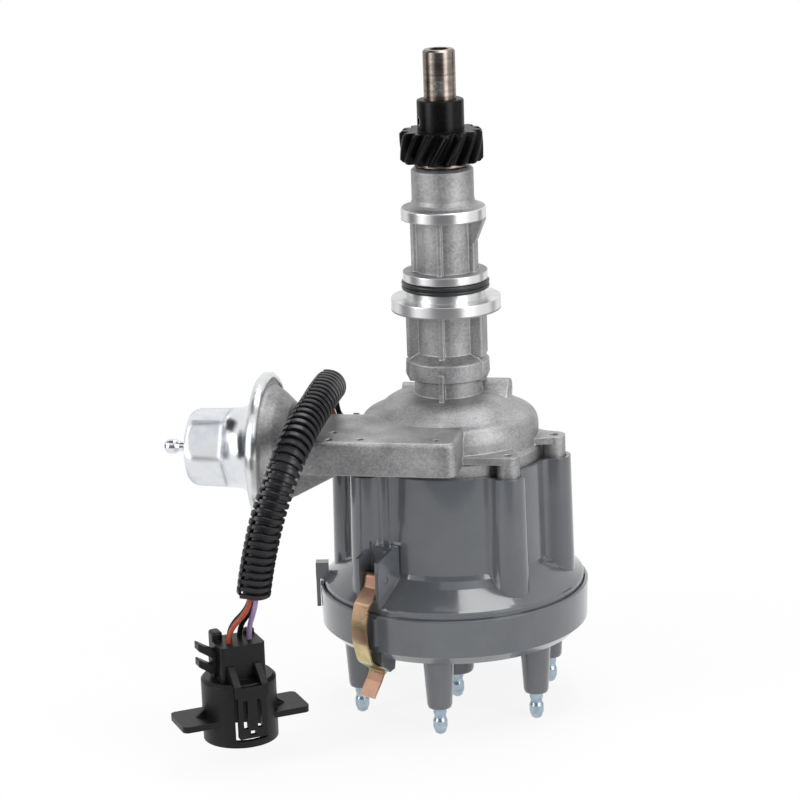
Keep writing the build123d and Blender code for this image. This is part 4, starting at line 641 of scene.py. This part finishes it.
# each finish's name, the radius of its edges, its least roughness and the CAD nodes that wear it
zincs = (
    ("bright zinc on pressed steel", 0.0030, 0.14, ("vacuum_cover",)),
    ("bright zinc on small parts", 0.00025, 0.16,
     ("hose_nipple", "vacuum_screws", "adapter_screws", "base_plate_screws", "vacuum_link", "base_plate",
      "stator_plate", "weight_plate", "weight_a", "weight_b", "pole_ring", "vacuum_spring", "advance_springs")),
)
for zinc_name, edge_r, least_rough, zinc_nodes in zincs:
    # Bright zinc over steel: mirror-like, with a blue tinge in patches of 1.5 cm and a faint pull of the press,
    # 6 mm across.
    bright_zinc, tree, shader, place = start_finish(zinc_name, Metallic=1.0)
    stain = add(tree, "TexNoise", {"Vector": place, "Scale": 70.0, "Detail": 4.0, "Roughness": 0.6})
    blue_white = add(tree, "ValToRGB", {"Fac": stain}, stops=((0.3, "#d3d8e0"), (0.5, "#e3e5e8"), (0.7, "#dfe0df")))
    gloss = add(tree, "MapRange", {"Value": stain, "To Min": least_rough, "To Max": least_rough + 0.06})
    pull = add(tree, "TexNoise", {"Vector": place, "Scale": 160.0, "Detail": 2.0})
    edge = add(tree, "Bevel", {"Radius": edge_r}, samples=4)
    skin = add(tree, "Bump", {"Strength": 0.1, "Distance": 0.0001, "Height": pull, "Normal": edge})
    feed(shader, {"Base Color": blue_white, "Roughness": gloss, "Normal": skin})
    wear(bright_zinc, *zinc_nodes)
wear(aluminium, "vacuum_body")
wear(nitrile, "diaphragm")


# ---------------------------------------------------------------------------
# Pickup. Sintered iron reluctor on the sleeve, ferrite ring and moulded coil under the pole ring.
# All of it is screwed to the stator plate inside the bowl.

# Sintered iron and ferrite: matt dark grey, with pits under 0.8 mm.
sintered_iron, tree, shader, place = start_finish("sintered iron", Metallic=0.6, Roughness=0.5)
pits = add(tree, "TexNoise", {"Vector": place, "Scale": 1300.0, "Detail": 3.0})
dark_grey = add(tree, "ValToRGB", {"Fac": pits}, stops=((0.3, "#3b3c3e"), (0.7, "#56585a")))
feed(shader, {"Base Color": dark_grey})
wear(sintered_iron, "reluctor", "magnet_ring")
wear(black_pbt, "pickup_coil")


# ---------------------------------------------------------------------------
# Studio. A white table that ends just in front of the object and keeps its soft shadow, white surroundings,
# cards that the bright metal mirrors, and three broad lamps.
table_half, table_front, table_back = 2.5, 0.42, 3.5
shadow_from, shadow_to = 0.15, 0.34  # the table fades to plain white between these distances
shadow_white = 0.86
toward_camera = Vector((math.sin(viewing_turn), -math.cos(viewing_turn), 0))
sideways = Vector((math.cos(viewing_turn), math.sin(viewing_turn), 0))
upward = Vector((0, 0, 1))
table_corners = [sideways * side + toward_camera * reach + upward * floor_z
                 for side, reach in ((-table_half, table_front), (table_half, table_front),
                                     (table_half, -table_back), (-table_half, -table_back))]
table = new_mesh_object("table", table_corners, [(0, 1, 2, 3)])


def seen_plainly(tree):
    """1 where the camera, a shiny surface or glass looks at it, and 0 where it only lights the object."""
    rays = add(tree, "LightPath").outputs
    seen = add(tree, "Math", {0: rays["Is Camera Ray"], 1: rays["Is Glossy Ray"]}, operation="MAXIMUM")
    return add(tree, "Math", {0: seen, 1: rays["Is Transmission Ray"]}, operation="MAXIMUM")


# Matt white paper: it shows the object's shadow near it and fades to plain white away from it.
paper, tree, shader, place = start_finish("matt white paper", Roughness=0.9, Specular_IOR_Level=0.1,
                                          Base_Color=linear("#fcfcfc"))
glow = add(tree, "Emission", {"Color": (1, 1, 1, 1), "Strength": 1.0})
away = add(tree, "VectorMath", {0: place}, operation="LENGTH")
plain = add(tree, "MapRange", {"Value": away, "From Min": shadow_from, "From Max": shadow_to,
                               "To Min": shadow_white, "To Max": 1.0}, interpolation_type="SMOOTHSTEP")
share = add(tree, "Math", {0: seen_plainly(tree), 1: plain}, operation="MULTIPLY")
blend = add(tree, "MixShader", {"Fac": share, 1: shader, 2: glow})
feed(tree.nodes["Material Output"], {"Surface": blend})
table.data.materials.append(paper)

# Cards that only the shiny surfaces mirror: a grey one behind the camera, a dark one high above the vacuum
# can, and a narrow dark one on each side.
# each card's colour, its middle, and from there to the middles of two of its sides
cards = {
    "card_front": ("#97989b", toward_camera * 1.7 - upward * 0.1, sideways * 1.15, upward * 1.2),
    "card_high": ("#2f323a", sideways * -0.62 + upward, sideways * 0.42, toward_camera * 0.42),
    "card_left": ("#2f323a", sideways * -0.6, toward_camera * 0.17, upward * 0.188),
    "card_right": ("#2f323a", sideways * 0.6 - toward_camera * 0.28, toward_camera * 0.08, upward * 0.188),
}
for card_name, (dye, middle, half_across, half_up) in cards.items():
    # Wool felt: dull all over, with no shine of its own.
    felt, tree, shader, place = start_finish("wool felt, " + card_name, Roughness=1.0, Specular_IOR_Level=0.0,
                                             Base_Color=linear(dye))
    corners = [middle - half_across - half_up, middle + half_across - half_up, middle + half_across + half_up,
               middle - half_across + half_up]
    card = new_mesh_object(card_name, corners, [(0, 1, 2, 3)])
    card.data.materials.append(felt)
    card.visible_camera = False
    card.visible_diffuse = False
    card.visible_shadow = False

# The surroundings look plain white and light the object softly, from all sides.
soft_light = 0.3
world = bpy.data.worlds.new("studio")
bpy.context.scene.world = world
world.use_nodes = True
tree = world.node_tree
strength = add(tree, "MapRange", {"Value": seen_plainly(tree), "To Min": soft_light, "To Max": 1.0})
feed(tree.nodes["Background"], {"Color": (1, 1, 1, 1), "Strength": strength})

# each lamp's place, width, height and watts
lamps = {
    "right": ((1.15, -0.75, 0.35), 0.6, 1.1, 9.8),
    "left": ((-1.05, -0.85, 0.4), 0.45, 1.0, 8.7),
    "top": ((0.12, 0.2, 1.2), 0.9, 0.6, 9.2),
}
object_middle = Vector((0, 0, -0.06))
for lamp_name, (lamp_place, lamp_width, lamp_height, lamp_watts) in lamps.items():
    lamp_data = bpy.data.lights.new(lamp_name, "AREA")
    lamp_data.shape = "RECTANGLE"
    lamp_data.size = lamp_width
    lamp_data.size_y = lamp_height
    lamp_data.energy = lamp_watts
    lamp = bpy.data.objects.new(lamp_name, lamp_data)
    lamp.location = lamp_place
    lamp.rotation_euler = (object_middle - Vector(lamp_place)).to_track_quat("-Z", "Y").to_euler()
    bpy.context.scene.collection.objects.link(lamp)
bpy.context.scene.view_settings.view_transform = "Standard"
